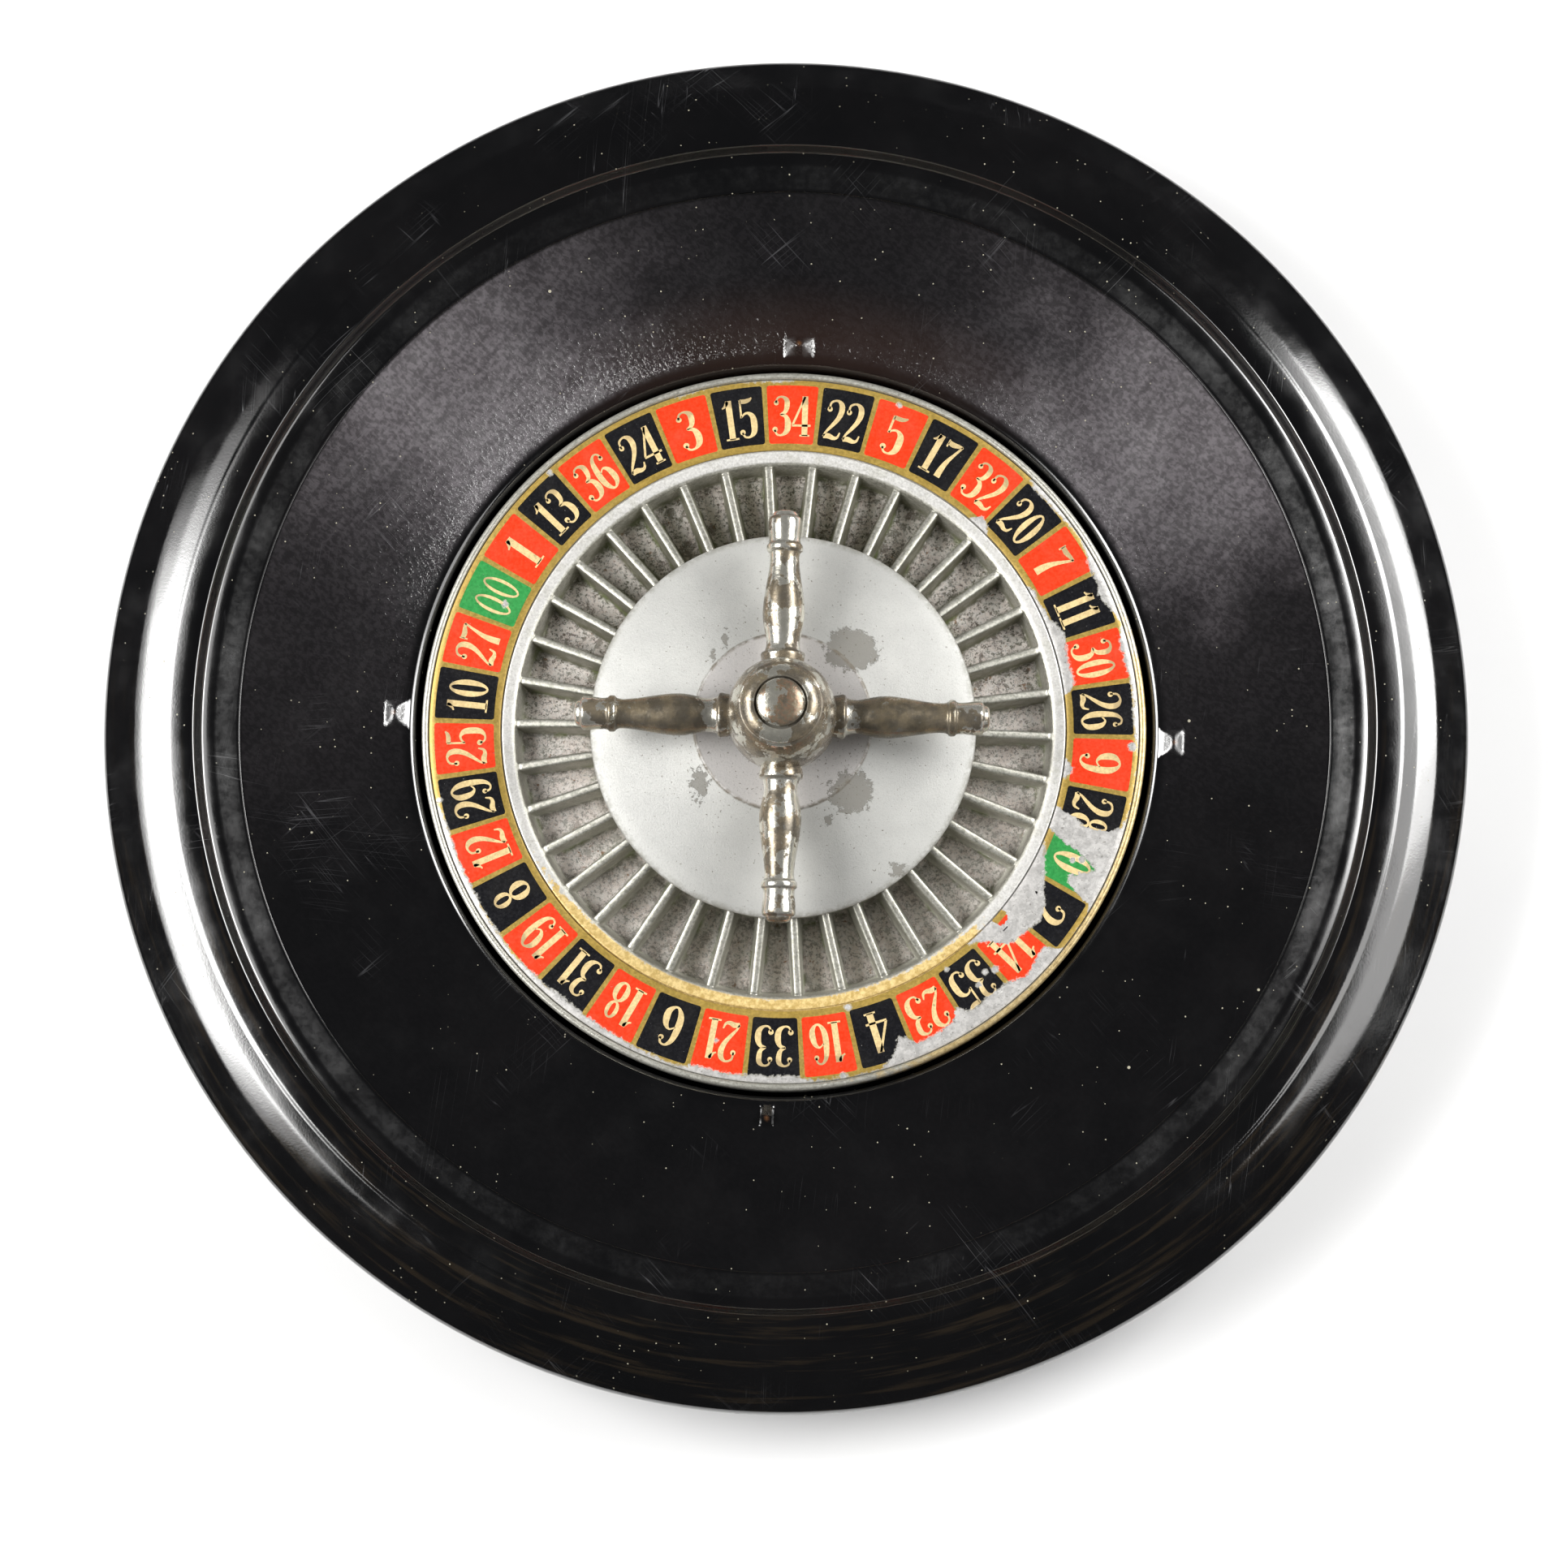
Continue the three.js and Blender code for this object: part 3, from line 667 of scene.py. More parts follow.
def plate_metal():
    g = material("plate_metal")
    spot = g.place()
    r, _, x, y, _ = g.round_place(spot)
    grain = g.noise(spot, 2.4, 5.0, 0.7)
    cloud = g.noise(spot, 0.09, 4.0, 0.6)
    base = g.colour(g.step(cloud, 0.32, 0.70), (0.475, 0.475, 0.455), (0.53, 0.53, 0.505))
    base = g.colour(g.step(r, 19.9, 19.3), base, (0.56, 0.54, 0.525))
    base = g.colour(g.step(grain, 0.5, 0.70) * 0.42, base, (0.36, 0.36, 0.35))
    # Patches where the lacquer has worn dark: centre, half sizes, edge noise.
    ragged = (g.noise(spot, 0.62, 6.0, 0.76) - 0.53) * 17.0
    worn = None
    for cx, cy, hx, hy in (
        (15.0, 16.2, 6.0, 5.2), (15.2, -15.6, 5.2, 5.0), (-18.4, -13.4, 2.0, 3.6), (-12.8, 19.0, 0.8, 1.6),
        (25.2, -32.2, 1.6, 1.6), (9.8, -22.0, 1.2, 1.4), (-15.4, 15.0, 0.6, 1.2),
    ):
        dx = (x - cx) / hx
        dy = (y - cy) / hy
        out = g.root(dx * dx + dy * dy)
        inside = 1.0 - out
        inside = inside + ragged / (max(min(hx, hy), 1.4) * 1.9)
        worn = inside if worn is None else g.most(worn, inside)
    specks = g.patches(spot, 0.95, 0.685, 0.70)
    near = g.step(r, 27.0, 15.0)
    worn = g.most(g.step(worn, -0.03, 0.05), specks * near)
    base = g.colour(worn * 0.85, base, (0.215, 0.205, 0.18))
    pits = g.noise(spot, 1.5, 3.0, 0.6) + g.step(r, 44.0, 12.0, 0.0, 0.04)
    pits = g.step(pits, 0.685, 0.71)
    base = g.colour(pits * 0.75, base, (0.10, 0.08, 0.05))
    seam = g.step(r, 18.9, 19.5) * g.step(r, 20.2, 19.8)
    seam = seam * g.patches(spot, 0.5, 0.34, 0.62)
    base = g.colour(seam * 0.75, base, (0.16, 0.13, 0.09))
    rim = g.step(r, 41.2, 42.6) * g.patches(spot, 0.6, 0.34, 0.6)
    base = g.colour(rim * 0.5, base, (0.20, 0.19, 0.15))
    rough = g.step(grain, 0.3, 0.7, 0.42, 0.54) + worn * 0.10
    metallic = 0.24 - worn * 0.10
    normal = g.bump(grain * 0.05 - worn * 0.04)
    return g.finish(Base_Color=base, Metallic=metallic, Roughness=rough, Normal=normal)


def plated_brass():
    """Nickel plate, worn brown where hands turn the rotor."""
    g = material("plated_brass")
    spot = g.place()
    r, _, x, y, z = g.round_place(spot)
    cloud = g.noise(spot, 0.21, 6.0, 0.60)
    grain = g.noise(spot, 1.3, 4.0, 0.62)
    side_arms = g.step(g.size(x), 15.0, 20.0) * g.step(g.size(x), 42.0, 34.0)
    side_arms = side_arms * g.step(g.size(y), 9.0, 7.0)
    dome = g.step(r, 9.4, 8.6) * g.step(z, 54.4, 55.0)
    button = g.step(z, 57.5, 58.0)
    hub = g.step(r, 15.0, 12.5)
    want = side_arms * 0.16 + hub * 0.06
    up_arms = g.step(g.size(y), 17.0, 21.0) * g.step(g.size(y), 38.0, 30.0)
    up_arms = up_arms * g.step(g.size(x), 9.0, 7.0)
    want = want + button * 0.02 + up_arms * 0.07
    worn = g.step(cloud * 0.86 + grain * 0.14 + want, 0.52, 0.555)
    base = g.colour(g.step(cloud, 0.40, 0.60), (0.62, 0.60, 0.52), (0.82, 0.80, 0.74))
    shade = g.patches(spot, 0.30, 0.36, 0.64, 3.0, 0.55)
    brown = g.colour(shade, (0.075, 0.055, 0.028), (0.20, 0.15, 0.082))
    rusty = g.patches(spot, 1.1, 0.45, 0.58)
    brown = g.colour(rusty * button, brown, (0.22, 0.11, 0.05))
    base = g.colour(worn * 0.88, base, brown)
    dots = g.patches(spot, 1.8, 0.69, 0.72, 3.0, 0.65)
    base = g.colour(dots * 0.4, base, (0.06, 0.045, 0.03))
    green = g.patches(spot, 0.55, 0.63, 0.70) * dome
    base = g.colour(green * 0.5, base, (0.40, 0.40, 0.17))
    grey = g.patches(spot, 0.42, 0.66, 0.71)
    base = g.colour(grey * 0.6, base, (0.30, 0.31, 0.31))
    # Dark dirt in the groove round the button and at the collars' seams.
    groove = g.step(r, 5.1, 5.3) * g.step(r, 6.0, 5.75)
    groove = groove * g.step(z, 55.6, 56.2)
    seam = g.split(g.attribute("seam"))[0]
    dirt = g.most(groove, seam * g.step(grain, 0.3, 0.55, 0.4, 1.0))
    base = g.colour(dirt * 0.7, base, (0.09, 0.08, 0.065))
    rough = g.clamp(g.step(grain, 0.3, 0.7, 0.15, 0.25) + worn * 0.06 + dirt * 0.3)
    normal = g.bump(grain * 0.012 + cloud * 0.20 - worn * 0.012)
    metallic = 0.80 - worn * 0.22
    return g.finish(Base_Color=base, Metallic=metallic, Roughness=rough, Normal=normal)


def turned_metal(name, light, dark, spotty):
    """Plain turned metal with fine tool rings and some tarnish."""
    g = material(name)
    spot = g.place()
    r = g.round_place(spot)[0]
    grain = g.noise(spot, 1.4, 4.0, 0.7)
    base = g.colour(g.step(grain, 0.32, 0.7), dark, light)
    spots = g.patches(spot, 0.7, 0.56, 0.70)
    base = g.colour(spots * 0.6, base, spotty)
    rings = g.math("SINE", r * 21.0)
    relief = rings * 0.004 + grain * 0.02
    rough = g.step(grain, 0.3, 0.7, 0.26, 0.46)
    return g.finish(Base_Color=base, Metallic=0.95, Roughness=rough, Normal=g.bump(relief))


def rubber():
    g = material("rubber")
    spot = g.place()
    grain = g.noise(spot, 2.6, 5.0, 0.7)
    base = g.colour(g.step(grain, 0.35, 0.68), (0.018, 0.018, 0.019), (0.045, 0.044, 0.043))
    dust = g.patches(spot, 0.5, 0.50, 0.75)
    base = g.colour(dust * 0.4, base, (0.15, 0.14, 0.12))
    rough = g.step(grain, 0.3, 0.7, 0.62, 0.86)
    return g.finish(Base_Color=base, Roughness=rough, Normal=g.bump(grain * 0.05))


def table_top():
    g = material("table_top")
    spot = g.place()
    cloud = g.noise(spot, 0.012, 3.0, 0.6)
    base = g.colour(g.step(cloud, 0.3, 0.7), (0.93, 0.93, 0.935), (0.96, 0.96, 0.96))
    return g.finish(Base_Color=base, Roughness=0.62)


# ---------------------------------------------------------------- the bowl
def slope_z(r):
    return LIP_Z + (TRACK_EDGE_Z - 0.7 - LIP_Z) * (r - LIP_R) / (TRACK_EDGE_R - 0.3 - LIP_R)


def softer(a, b, blend):
    """The smaller of two heights, rounded where they meet."""
    gap = max(0.0, blend - abs(a - b)) / blend
    return min(a, b) - gap * gap * blend / 4.0


def deflector(r, z, angle):
    """Height of the small moulded deflectors above the slope, and how rubbed and how dull they are."""
    if not (LIP_R - 0.1 < r < BUMP_END_R and z > WELL_TOP_Z):
        return 0.0, 0.0, 0.0
    for middle in (0, 90, 180, 270):
        off = (angle - middle - BUMP_TURN + 180.0) % 360.0 - 180.0
        if abs(off) > 5.0:
            continue
        near_side = middle == 270
        out = r * math.cos(rad(off)) - BUMP_R
        side = abs(r * math.sin(rad(off)))
        front = (out + 0.15) * 0.58
        flank = BUMP_HEIGHT - (6.0 * max(0.0, side - 1.2) if near_side else 0.16 * side * side)
        back = BUMP_HEIGHT + 0.1 - (out - 2.9) * 0.85
        crisp = 0.2 if near_side else 1.0
        height = softer(softer(front, flank, 0.4 * crisp), back, 0.9 * crisp)
        height = -softer(-height, 0.0, 0.5 * crisp)
        rub = 1.0 - min(1.0, math.hypot(out - 3.1, side * 1.2) / 0.75)
        dull = {90: 1.5, 270: 0.0}.get(middle, 0.5 if out < 3.1 else 0.9)
        if middle == 90:
            dull *= max(0.0, 1.0 - ((side - 1.9) / 1.5) ** 2)
        return max(0.0, height), rub, dull * held((height - 0.1) / 0.5)
    return 0.0, 0.0, 0.0


def make_bowl(look):
    outline = (
        Outline((SPINDLE_HOLE_R, 10.4), (8.6, 10.4))
        .curve(2, (9.1, 10.1), (9.6, 9.5), (10.4, 9.4))
        .straight(8, (79.2, 9.4))
        .curve(3, (80.6, 9.75), (81.7, 10.8), (WELL_R, 12.6))
        .straight(3, (WELL_R, 20.7))
        .curve(3, (82.42, 21.4), (82.7, 21.9), (83.05, 22.22), (83.45, 22.46), (LIP_R, LIP_Z))
        .to(*[(LIP_R + 0.35 * k, slope_z(LIP_R + 0.35 * k)) for k in range(1, 27)])
        .straight(12, (TRACK_EDGE_R - 0.3, TRACK_EDGE_Z - 0.7))
        .curve(2, (121.14, 26.26), (121.2, 26.45), (121.26, 26.66), (121.5, 26.74))
        .curve(3, (122.4, 26.97), (123.6, 27.31), (125.0, 27.72), (126.45, 28.13))
        .curve(1, (126.6, 28.14), (126.8, 28.2))
        .curve(3, (127.1, 28.3), (127.6, 28.5), (128.3, 28.82), (128.9, 29.15), (129.2, 29.5),
            (129.55, 30.2), (129.85, 30.9), (130.1, 31.4), (130.35, 31.72), (130.7, 31.9), (131.3, 31.98),
            (132.0, 32.0), (132.8, 31.97), (133.8, 31.87), (134.9, 31.73), (135.6, 31.62), (135.9, 31.54))
        .straight(2, (136.4, 31.33))
        .curve(3, (137.5, 31.13), (138.6, 30.92), (139.5, 30.73), (140.0, 30.59), (140.5, 30.42),
            (141.5, 30.04), (142.6, 29.6), (143.6, 29.16), (144.3, 28.82), (145.6, 28.04), (147.2, 27.07),
            (148.8, 26.1), (150.2, 25.25), (151.1, 24.71), (151.6, 24.32), (151.95, 23.7), (152.2, 22.8),
            (152.36, 21.6), (BOWL_R, 20.7))
        .curve(2, (152.28, 20.15), (151.9, 19.78), (151.4, 19.7), (150.7, 19.7))
        # The underside.
        .curve(3, (149.6, 21.3), (148.2, 22.95), (144.4, 25.4), (139.0, 27.25), (134.6, 27.7),
            (132.4, 25.6), (129.4, 23.75), (124.6, 22.6))
        .straight(2, (111.0, 21.05))
        .curve(2, (110.0, 20.8), (109.45, 20.0))
        .straight(3, (106.2, 3.3))
        .curve(2, (105.9, 2.7), (105.2, 2.5))
        .to((101.6, 2.5))
        .curve(2, (101.25, 2.75), (101.1, 3.4))
        .straight(3, (99.6, 18.4))
        .curve(2, (99.2, 19.3), (98.2, 19.5))
        .to((98.2, 19.45))
        .straight(2, (88.2, 17.95))
        .curve(2, (87.35, 17.6), (87.1, 16.6))
        .straight(2, (86.6, 9.0))
        .curve(3, (86.1, 7.3), (84.9, 6.3), (83.4, 6.0))
        .straight(6, (13.2, 6.0))
        .to((12.8, 5.85), (12.5, 5.6), (SPINDLE_HOLE_R, 5.6))
    )
    profile = [(min(r, BOWL_R), min(z, CROWN_Z)) for r, z in outline.points]
    angles = set(even(216))
    for middle in (0, 90, 180, 270):
        angles |= {round((middle + BUMP_TURN + 0.25 * k) % 360.0, 4) for k in range(-17, 18)}
    angles = sorted(angles)
    keep = [a for i, a in enumerate(angles) if i == 0 or a - angles[i - 1] > 0.08]

    moulding = lathe(profile, keep, move=lambda r, z, a: deflector(r, z, a)[0])
    lug = (
        Outline((0.0, 2.5), (6.2, 2.5))
        .curve(2, (6.6, 2.62), (6.8, 3.0))
        .to((7.0, 18.0))
        .curve(3, (7.3, 19.0), (8.0, 19.9))
        .to((0.0, 19.9))
    ).points
    parts = [moulding]
    for k in range(3):
        some, these = lathe(lug, even(40), closed=False)
        parts.append((shift(some, *polar(FOOT_CIRCLE_R, 90 + 120 * k)), these))
    bowl = piece("bowl_moulding", *join(*parts), look, "bowl", crisp=38.0)
    tones = []
    for v in bowl.data.vertices:
        x, y, z = v.co / MM
        tones.append((*deflector(math.hypot(x, y), z, math.degrees(math.atan2(y, x)))[1:], 0.0))
    paint(bowl, "worn", tones)
    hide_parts("bowl")


# ---------------------------------------------------------------- the rotor's casting
FRET_SIDE = [
    (0.0, 0.0), (0.46, 0.05), (0.72, 0.15), (0.90, 0.40), (1.03, 0.95), (1.12, 1.9), (1.24, 3.4),
    (1.38, 5.0), (1.58, 6.4), (2.15, 8.2),
]
TROUGH = [
    (41.3, 19.5), (41.9, 17.0), (42.5, 15.9), (43.4, 15.45), (44.5, FLOOR_Z), (57.4, FLOOR_Z),
    (58.2, 15.55), (58.75, 16.0), (59.05, 16.9), (59.35, 18.3), (59.75, 20.1), (60.0, 20.95),
    (60.25, 21.25), (60.6, LEDGE_Z),
]


def pocket_surface(r, side, middle, way):
    """Height of frets and floor as one cast skin, at a radius and a distance from a fret's middle line."""
    fret = 0.0
    if r < FRET_END_R:
        crest = FRET_INNER_TOP_Z + (FRET_OUTER_TOP_Z - FRET_INNER_TOP_Z) * held((r - 43.0) / 16.8)
        wobble = noise.noise(Vector((r * 0.22, middle * 1.7, way * 3.1)))
        fret = crest - 0.5 * max(0.0, r - 59.4) - between(FRET_SIDE, side * (1.0 + 0.06 * wobble), 12.0)
    ground = between(TROUGH, r, LEDGE_Z)
    if ground < FLOOR_Z + 0.2:
        x, y = polar(r, middle + way * math.degrees(side / r))
        ground += 0.16 * noise.fractal(Vector((x * 0.55, y * 0.55, 4.0)), 1.0, 2.0, 3)
    gap = abs(fret - ground)
    fillet = 0.55
    rise = fillet * (1 - gap / (2 * fillet)) ** 2 / 2 if gap < 2 * fillet else 0.0
    return max(fret, ground) + rise, fret > ground


def make_trough(look):
    """The ring of pockets: floor, walls and frets as one cast skin."""
    radii = [41.3, 41.9, 42.5, 43.0, 43.6, 44.5, 45.8, 47.2, 48.6, 50.0, 51.4, 52.8, 54.2, 55.4,
             56.4, 57.2, 57.8, 58.2, 58.55, 58.8, 59.05, 59.35, 59.55, 59.75, 59.9, 60.05, 60.25, 60.6]
    sides = [0.0, 0.3, 0.52, 0.7, 0.84, 0.95, 1.06, 1.19, 1.36, 1.6, 1.95, 2.4]
    # From a fret's middle line: a distance in mm, then a share of what is left of half a pocket.
    half_row = [(s, 0.0) for s in sides] + [(sides[-1], share) for share in (0.25, 0.5, 0.75)]
    row = [(1, *place) for place in reversed(half_row)]
    row += [(-1, *place) for place in half_row[1:] + [(sides[-1], 1.0)]]
    columns = [(TOP_POCKET - PITCH * (i + 0.5), *place) for i in range(POCKETS) for place in row]
    half = rad(PITCH / 2)
    rows = len(radii)
    points, tones = [], []
    for middle, way, s, share in columns:
        for r in radii:
            turn = s / r + (half - s / r) * share
            side = r * turn
            z, on_fret = pocket_surface(r, side, middle, way)
            points.append((*polar(r, middle + way * math.degrees(turn)), z))
            # The first channel marks corners where dirt gathers; the second marks the frets' steep flanks,
            # which get painted shade.
            near_fret = 1.0 - min(1.0, abs(side - 1.6) / 0.80)
            near_end = max(1.0 - min(1.0, abs(r - 58.6) / 0.9), 1.0 - min(1.0, abs(r - 43.6) / 1.6))
            corner = max(near_fret, near_end) * held((18.6 - z) / 1.8)
            tones.append((corner, held((side - 0.72) / 0.40) if on_fret else 0.0, 0.0))
    m = len(columns)
    base = len(points)
    for k in range(m):
        for i in (0, rows - 1):
            points.append((*points[k * rows + i][:2], TROUGH_UNDER_Z))
            tones.append((0.0, 0.0, 0.0))
    faces = []
    for k in range(m):
        j = (k + 1) % m
        here, there = k * rows, j * rows
        faces += [(here + i, there + i, there + i + 1, here + i + 1) for i in range(rows - 1)]
        a, b, c, d = base + 2 * k, base + 2 * j, base + 2 * j + 1, base + 2 * k + 1
        faces += [(a, b, c, d), (here, there, b, a), (here + rows - 1, there + rows - 1, c, d)]
    trough = piece("pocket_ring", points, faces, look, "rotor", crisp=75.0, closed=False)
    face_out(trough.data)
    paint(trough, "corner", tones)


def make_pan(look):
    """Rim, seat and ledge of the casting, with its underside and centre boss."""
    profile = (
        Outline((5.4, 12.6), (70.0, 12.6), (78.4, 12.6))
        .curve(3, (79.8, 12.8), (80.7, 13.4), (81.0, 14.4))
        .straight(2, (81.0, 21.5))
        .curve(3, (80.93, 21.95), (80.65, 22.25), (80.25, 22.38), (79.85, 22.3), (79.6, 22.1))
        .to((79.5, 21.6), (79.45, 21.3), (63.0, 21.3), (63.0, 21.5))
        .curve(2, (62.95, 21.72), (62.7, 21.82))
        .curve(2, (61.8, 21.7), (60.9, 21.55), (60.45, 21.35))
        .to((60.3, 20.8), (60.3, 14.9), (41.6, 14.9), (41.4, 16.4), (41.2, 24.5))
        .curve(2, (40.2, 24.95), (38.6, 25.2))
        .to((38.2, 24.6), (38.2, 15.4), (9.6, 15.4))
        .curve(2, (8.4, 16.0), (8.0, 17.4))
        .to((8.0, 30.0), (7.7, 30.3), (2.4, 30.3), (2.4, 24.8), (5.4, 24.8))
    ).points
    pan = piece("rotor_pan", *lathe(profile, even(200)), look, "rotor", crisp=40.0)
    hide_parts("rotor_casting", *["fret_%02d" % (i + 1) for i in range(POCKETS)])


# ---------------------------------------------------------------- the number ring
ORDER = [
    "00", "1", "13", "36", "24", "3", "15", "34", "22", "5", "17", "32", "20",
    "7", "11", "30", "26", "9", "28", "0", "2", "14", "35", "23", "4", "16",
    "33", "21", "6", "18", "31", "19", "8", "12", "29", "25", "10", "27",
]
RED = {"1", "3", "5", "7", "9", "12", "14", "16", "18", "19", "21", "23", "25", "27", "30", "32", "34", "36"}


def panel_angle(k):
    return TOP_POCKET - (k - 7) * PITCH


def panel(k):
    """One coloured panel: a thin plate with eased corners."""
    middle, half, ease = panel_angle(k), PITCH * 0.455, 0.45
    outline = []
    for r, way in ((PANEL_OUTER_R, 1), (PANEL_INNER_R, -1)):
        reach = half - math.degrees(ease / r)
        near_end = half - math.degrees(ease * 0.3 / r)
        outline += [(r - way * ease, middle - way * half), (r - way * ease * 0.35, middle - way * near_end)]
        outline += [(r, middle + way * reach * (i / 3 - 1)) for i in range(7)]
        outline += [(r - way * ease * 0.35, middle + way * near_end), (r - way * ease, middle + way * half)]
    return slab([polar(r, a) for r, a in outline], LABEL_TOP_Z - 0.05, LABEL_TOP_Z + 0.03)


def slab(outline, low, high):
    n = len(outline)
    points = [(x, y, low) for x, y in outline] + [(x, y, high) for x, y in outline]
    faces = [tuple(range(n))[::-1], tuple(range(n, 2 * n))]
    faces += [(i, (i + 1) % n, n + (i + 1) % n, n + i) for i in range(n)]
    return points, faces


def ribbon(line, parts=7):
    """A stroke of changing width through (x, y, width), as quads side by side."""
    fine = curve_through(line, parts) if len(line) > 2 else [tuple(line[0]), tuple(line[1])]
    left, right = [], []
    for i, (x, y, w) in enumerate(fine):
        ax, ay, _ = fine[max(i - 1, 0)]
        bx, by, _ = fine[min(i + 1, len(fine) - 1)]
        dx, dy = bx - ax, by - ay
        size = math.hypot(dx, dy) or 1.0
        nx, ny = -dy / size * w / 2, dx / size * w / 2
        left.append((x + nx, y + ny))
        right.append((x - nx, y - ny))
    return [[left[i], left[i + 1], right[i + 1], right[i]] for i in range(len(fine) - 1)]


def ball(x, y, r):
    return [[(x + r * math.cos(rad(a)), y + r * math.sin(rad(a))) for a in range(0, 360, 24)]]


def loop(cx, cy, rx, ry, side, thin, count=30):
    """A closed oval stroke, heavy at the sides and light at top and bottom."""
    ring = []
    for i in range(count):
        a = rad(360.0 * i / count)
        heavy = abs(math.cos(a)) ** 1.6
        w = thin + (side - thin) * heavy
        ring.append((cx + (rx + w / 2) * math.cos(a), cy + (ry + w / 2) * math.sin(a),
                     cx + (rx - w / 2) * math.cos(a), cy + (ry - w / 2) * math.sin(a)))
    quads = []
    for i in range(count):
        ox, oy, ix, iy = ring[i]
        px, py, jx, jy = ring[(i + 1) % count]
        quads.append([(ox, oy), (px, py), (jx, jy), (ix, iy)])
    return quads


def turned_over(shapes, height):
    return [[(-x, height - y) for x, y in s] for s in shapes]


def digits():
    """Old-style condensed numerals with ball ends, in mm, each with the width it takes."""
    six = (
        ribbon([(1.28, 7.55, 0.5), (0.95, 8.75, 0.45), (0.1, 9.02, 0.45), (-0.9, 8.0, 0.9),
                (-1.42, 4.9, 1.35), (-1.25, 1.9, 1.2), (-0.3, 0.3, 0.55), (0.35, 0.28, 0.5),
                (1.3, 1.4, 1.15), (1.42, 3.0, 1.35), (1.0, 4.7, 0.95), (0.15, 5.35, 0.42),
                (-0.9, 4.6, 0.3)])
        + ball(1.12, 7.55, 0.55)
    )
    return {
        "1": (ribbon([(0.1, 0.15, 1.4), (0.1, 9.1, 1.4)])
              + ribbon([(-1.5, 7.45, 0.3), (-0.95, 7.75, 0.5), (-0.35, 8.5, 0.8), (-0.1, 9.0, 0.5)])
              + ribbon([(-1.35, 0.2, 0.4), (1.55, 0.2, 0.4)]), 3.3),
        "2": (ribbon([(-1.45, 6.75, 0.4), (-1.25, 8.4, 0.5), (0.0, 9.0, 0.5), (1.1, 8.3, 1.15),
                      (1.4, 6.9, 1.3), (0.9, 5.0, 1.05), (-0.2, 3.2, 0.8), (-1.3, 1.6, 0.5),
                      (-1.75, 0.5, 0.4)])
              + ball(-1.35, 6.85, 0.6)
              + ribbon([(-1.75, 0.5, 0.9), (-0.6, 0.75, 1.2), (0.6, 0.45, 0.9), (1.4, 0.7, 0.6),
                        (1.85, 1.9, 0.3)]), 4.5),
        "3": (ribbon([(-1.4, 7.6, 0.4), (-1.0, 8.7, 0.45), (0.0, 9.0, 0.5), (1.05, 8.3, 1.1), (1.2, 7.1, 1.2),
                      (0.8, 5.6, 0.9), (-0.3, 4.95, 0.4)])
              + ribbon([(-0.3, 4.95, 0.4), (0.95, 4.5, 0.9), (1.5, 3.0, 1.4), (1.25, 1.2, 1.2),
                        (0.1, 0.25, 0.5), (-0.9, 0.35, 0.45), (-1.5, 1.4, 0.45)])
              + ball(-1.3, 7.6, 0.58) + ball(-1.4, 1.5, 0.62), 4.5),
        "4": (ribbon([(0.75, 9.1, 0.5), (-2.0, 2.7, 0.5)])
              + ribbon([(-2.15, 2.5, 0.5), (2.1, 2.5, 0.5)])
              + ribbon([(0.75, 0.15, 1.35), (0.75, 9.2, 1.35)])
              + ribbon([(-0.4, 0.2, 0.4), (1.9, 0.2, 0.4)]), 4.7),
        "5": (ribbon([(-1.1, 8.55, 1.0), (0.2, 8.5, 1.0), (1.0, 8.7, 0.8), (1.65, 9.15, 0.3)])
              + ribbon([(-1.15, 8.9, 0.45), (-1.25, 4.8, 0.45)])
              + ribbon([(-1.25, 4.9, 0.4), (-0.5, 5.6, 0.45), (0.35, 5.75, 0.6), (1.3, 4.9, 1.2),
                        (1.5, 3.1, 1.45), (1.2, 1.2, 1.2), (0.1, 0.25, 0.5), (-0.9, 0.4, 0.45),
                        (-1.45, 1.4, 0.45)])
              + ball(-1.35, 1.5, 0.62), 4.5),
        "6": (six, 4.5),
        "7": (ribbon([(-1.75, 8.45, 1.0), (-0.6, 8.3, 1.2), (0.6, 8.55, 0.9), (1.65, 8.75, 0.5)])
              + ribbon([(-1.8, 9.1, 0.3), (-1.75, 7.3, 0.35)])
              + ribbon([(1.65, 8.8, 0.45), (0.75, 6.4, 0.65), (0.0, 4.2, 1.0), (-0.35, 2.0, 1.35),
                        (-0.4, 0.15, 1.5)]), 4.4),
        "8": (loop(0, 6.95, 1.02, 1.85, 0.95, 0.45) + loop(0, 2.55, 1.25, 2.15, 1.25, 0.45), 4.5),
        "9": (turned_over(six, NUMERAL_HEIGHT), 4.5),
        "0": (loop(0, 4.6, 1.3, 4.2, 1.3, 0.45), 4.5),
        "thin0": (loop(0, 4.6, 1.35, 4.15, 0.75, 0.45), 4.4),
    }


def numeral(text, k, shapes):
    """The slabs of one number, its foot towards the centre."""
    names = list(text) if text != "00" else ["thin0", "thin0"]
    stretch = 1.12 if len(names) == 1 else 0.98
    a = rad(panel_angle(k))
    at = -sum(shapes[name][1] for name in names) * stretch / 2
    parts = []
    for name in names:
        outlines, width = shapes[name]
        middle = at + width * stretch / 2
        at += width * stretch
        for outline in outlines:
            flat = []
            for x, y in outline:
                across, r = middle + x * stretch, NUMERAL_FOOT_R + y
                flat.append((across * math.sin(a) + r * math.cos(a), r * math.sin(a) - across * math.cos(a)))
            parts.append(slab(flat, LABEL_TOP_Z - 0.02, LABEL_TOP_Z + 0.055))
    return parts


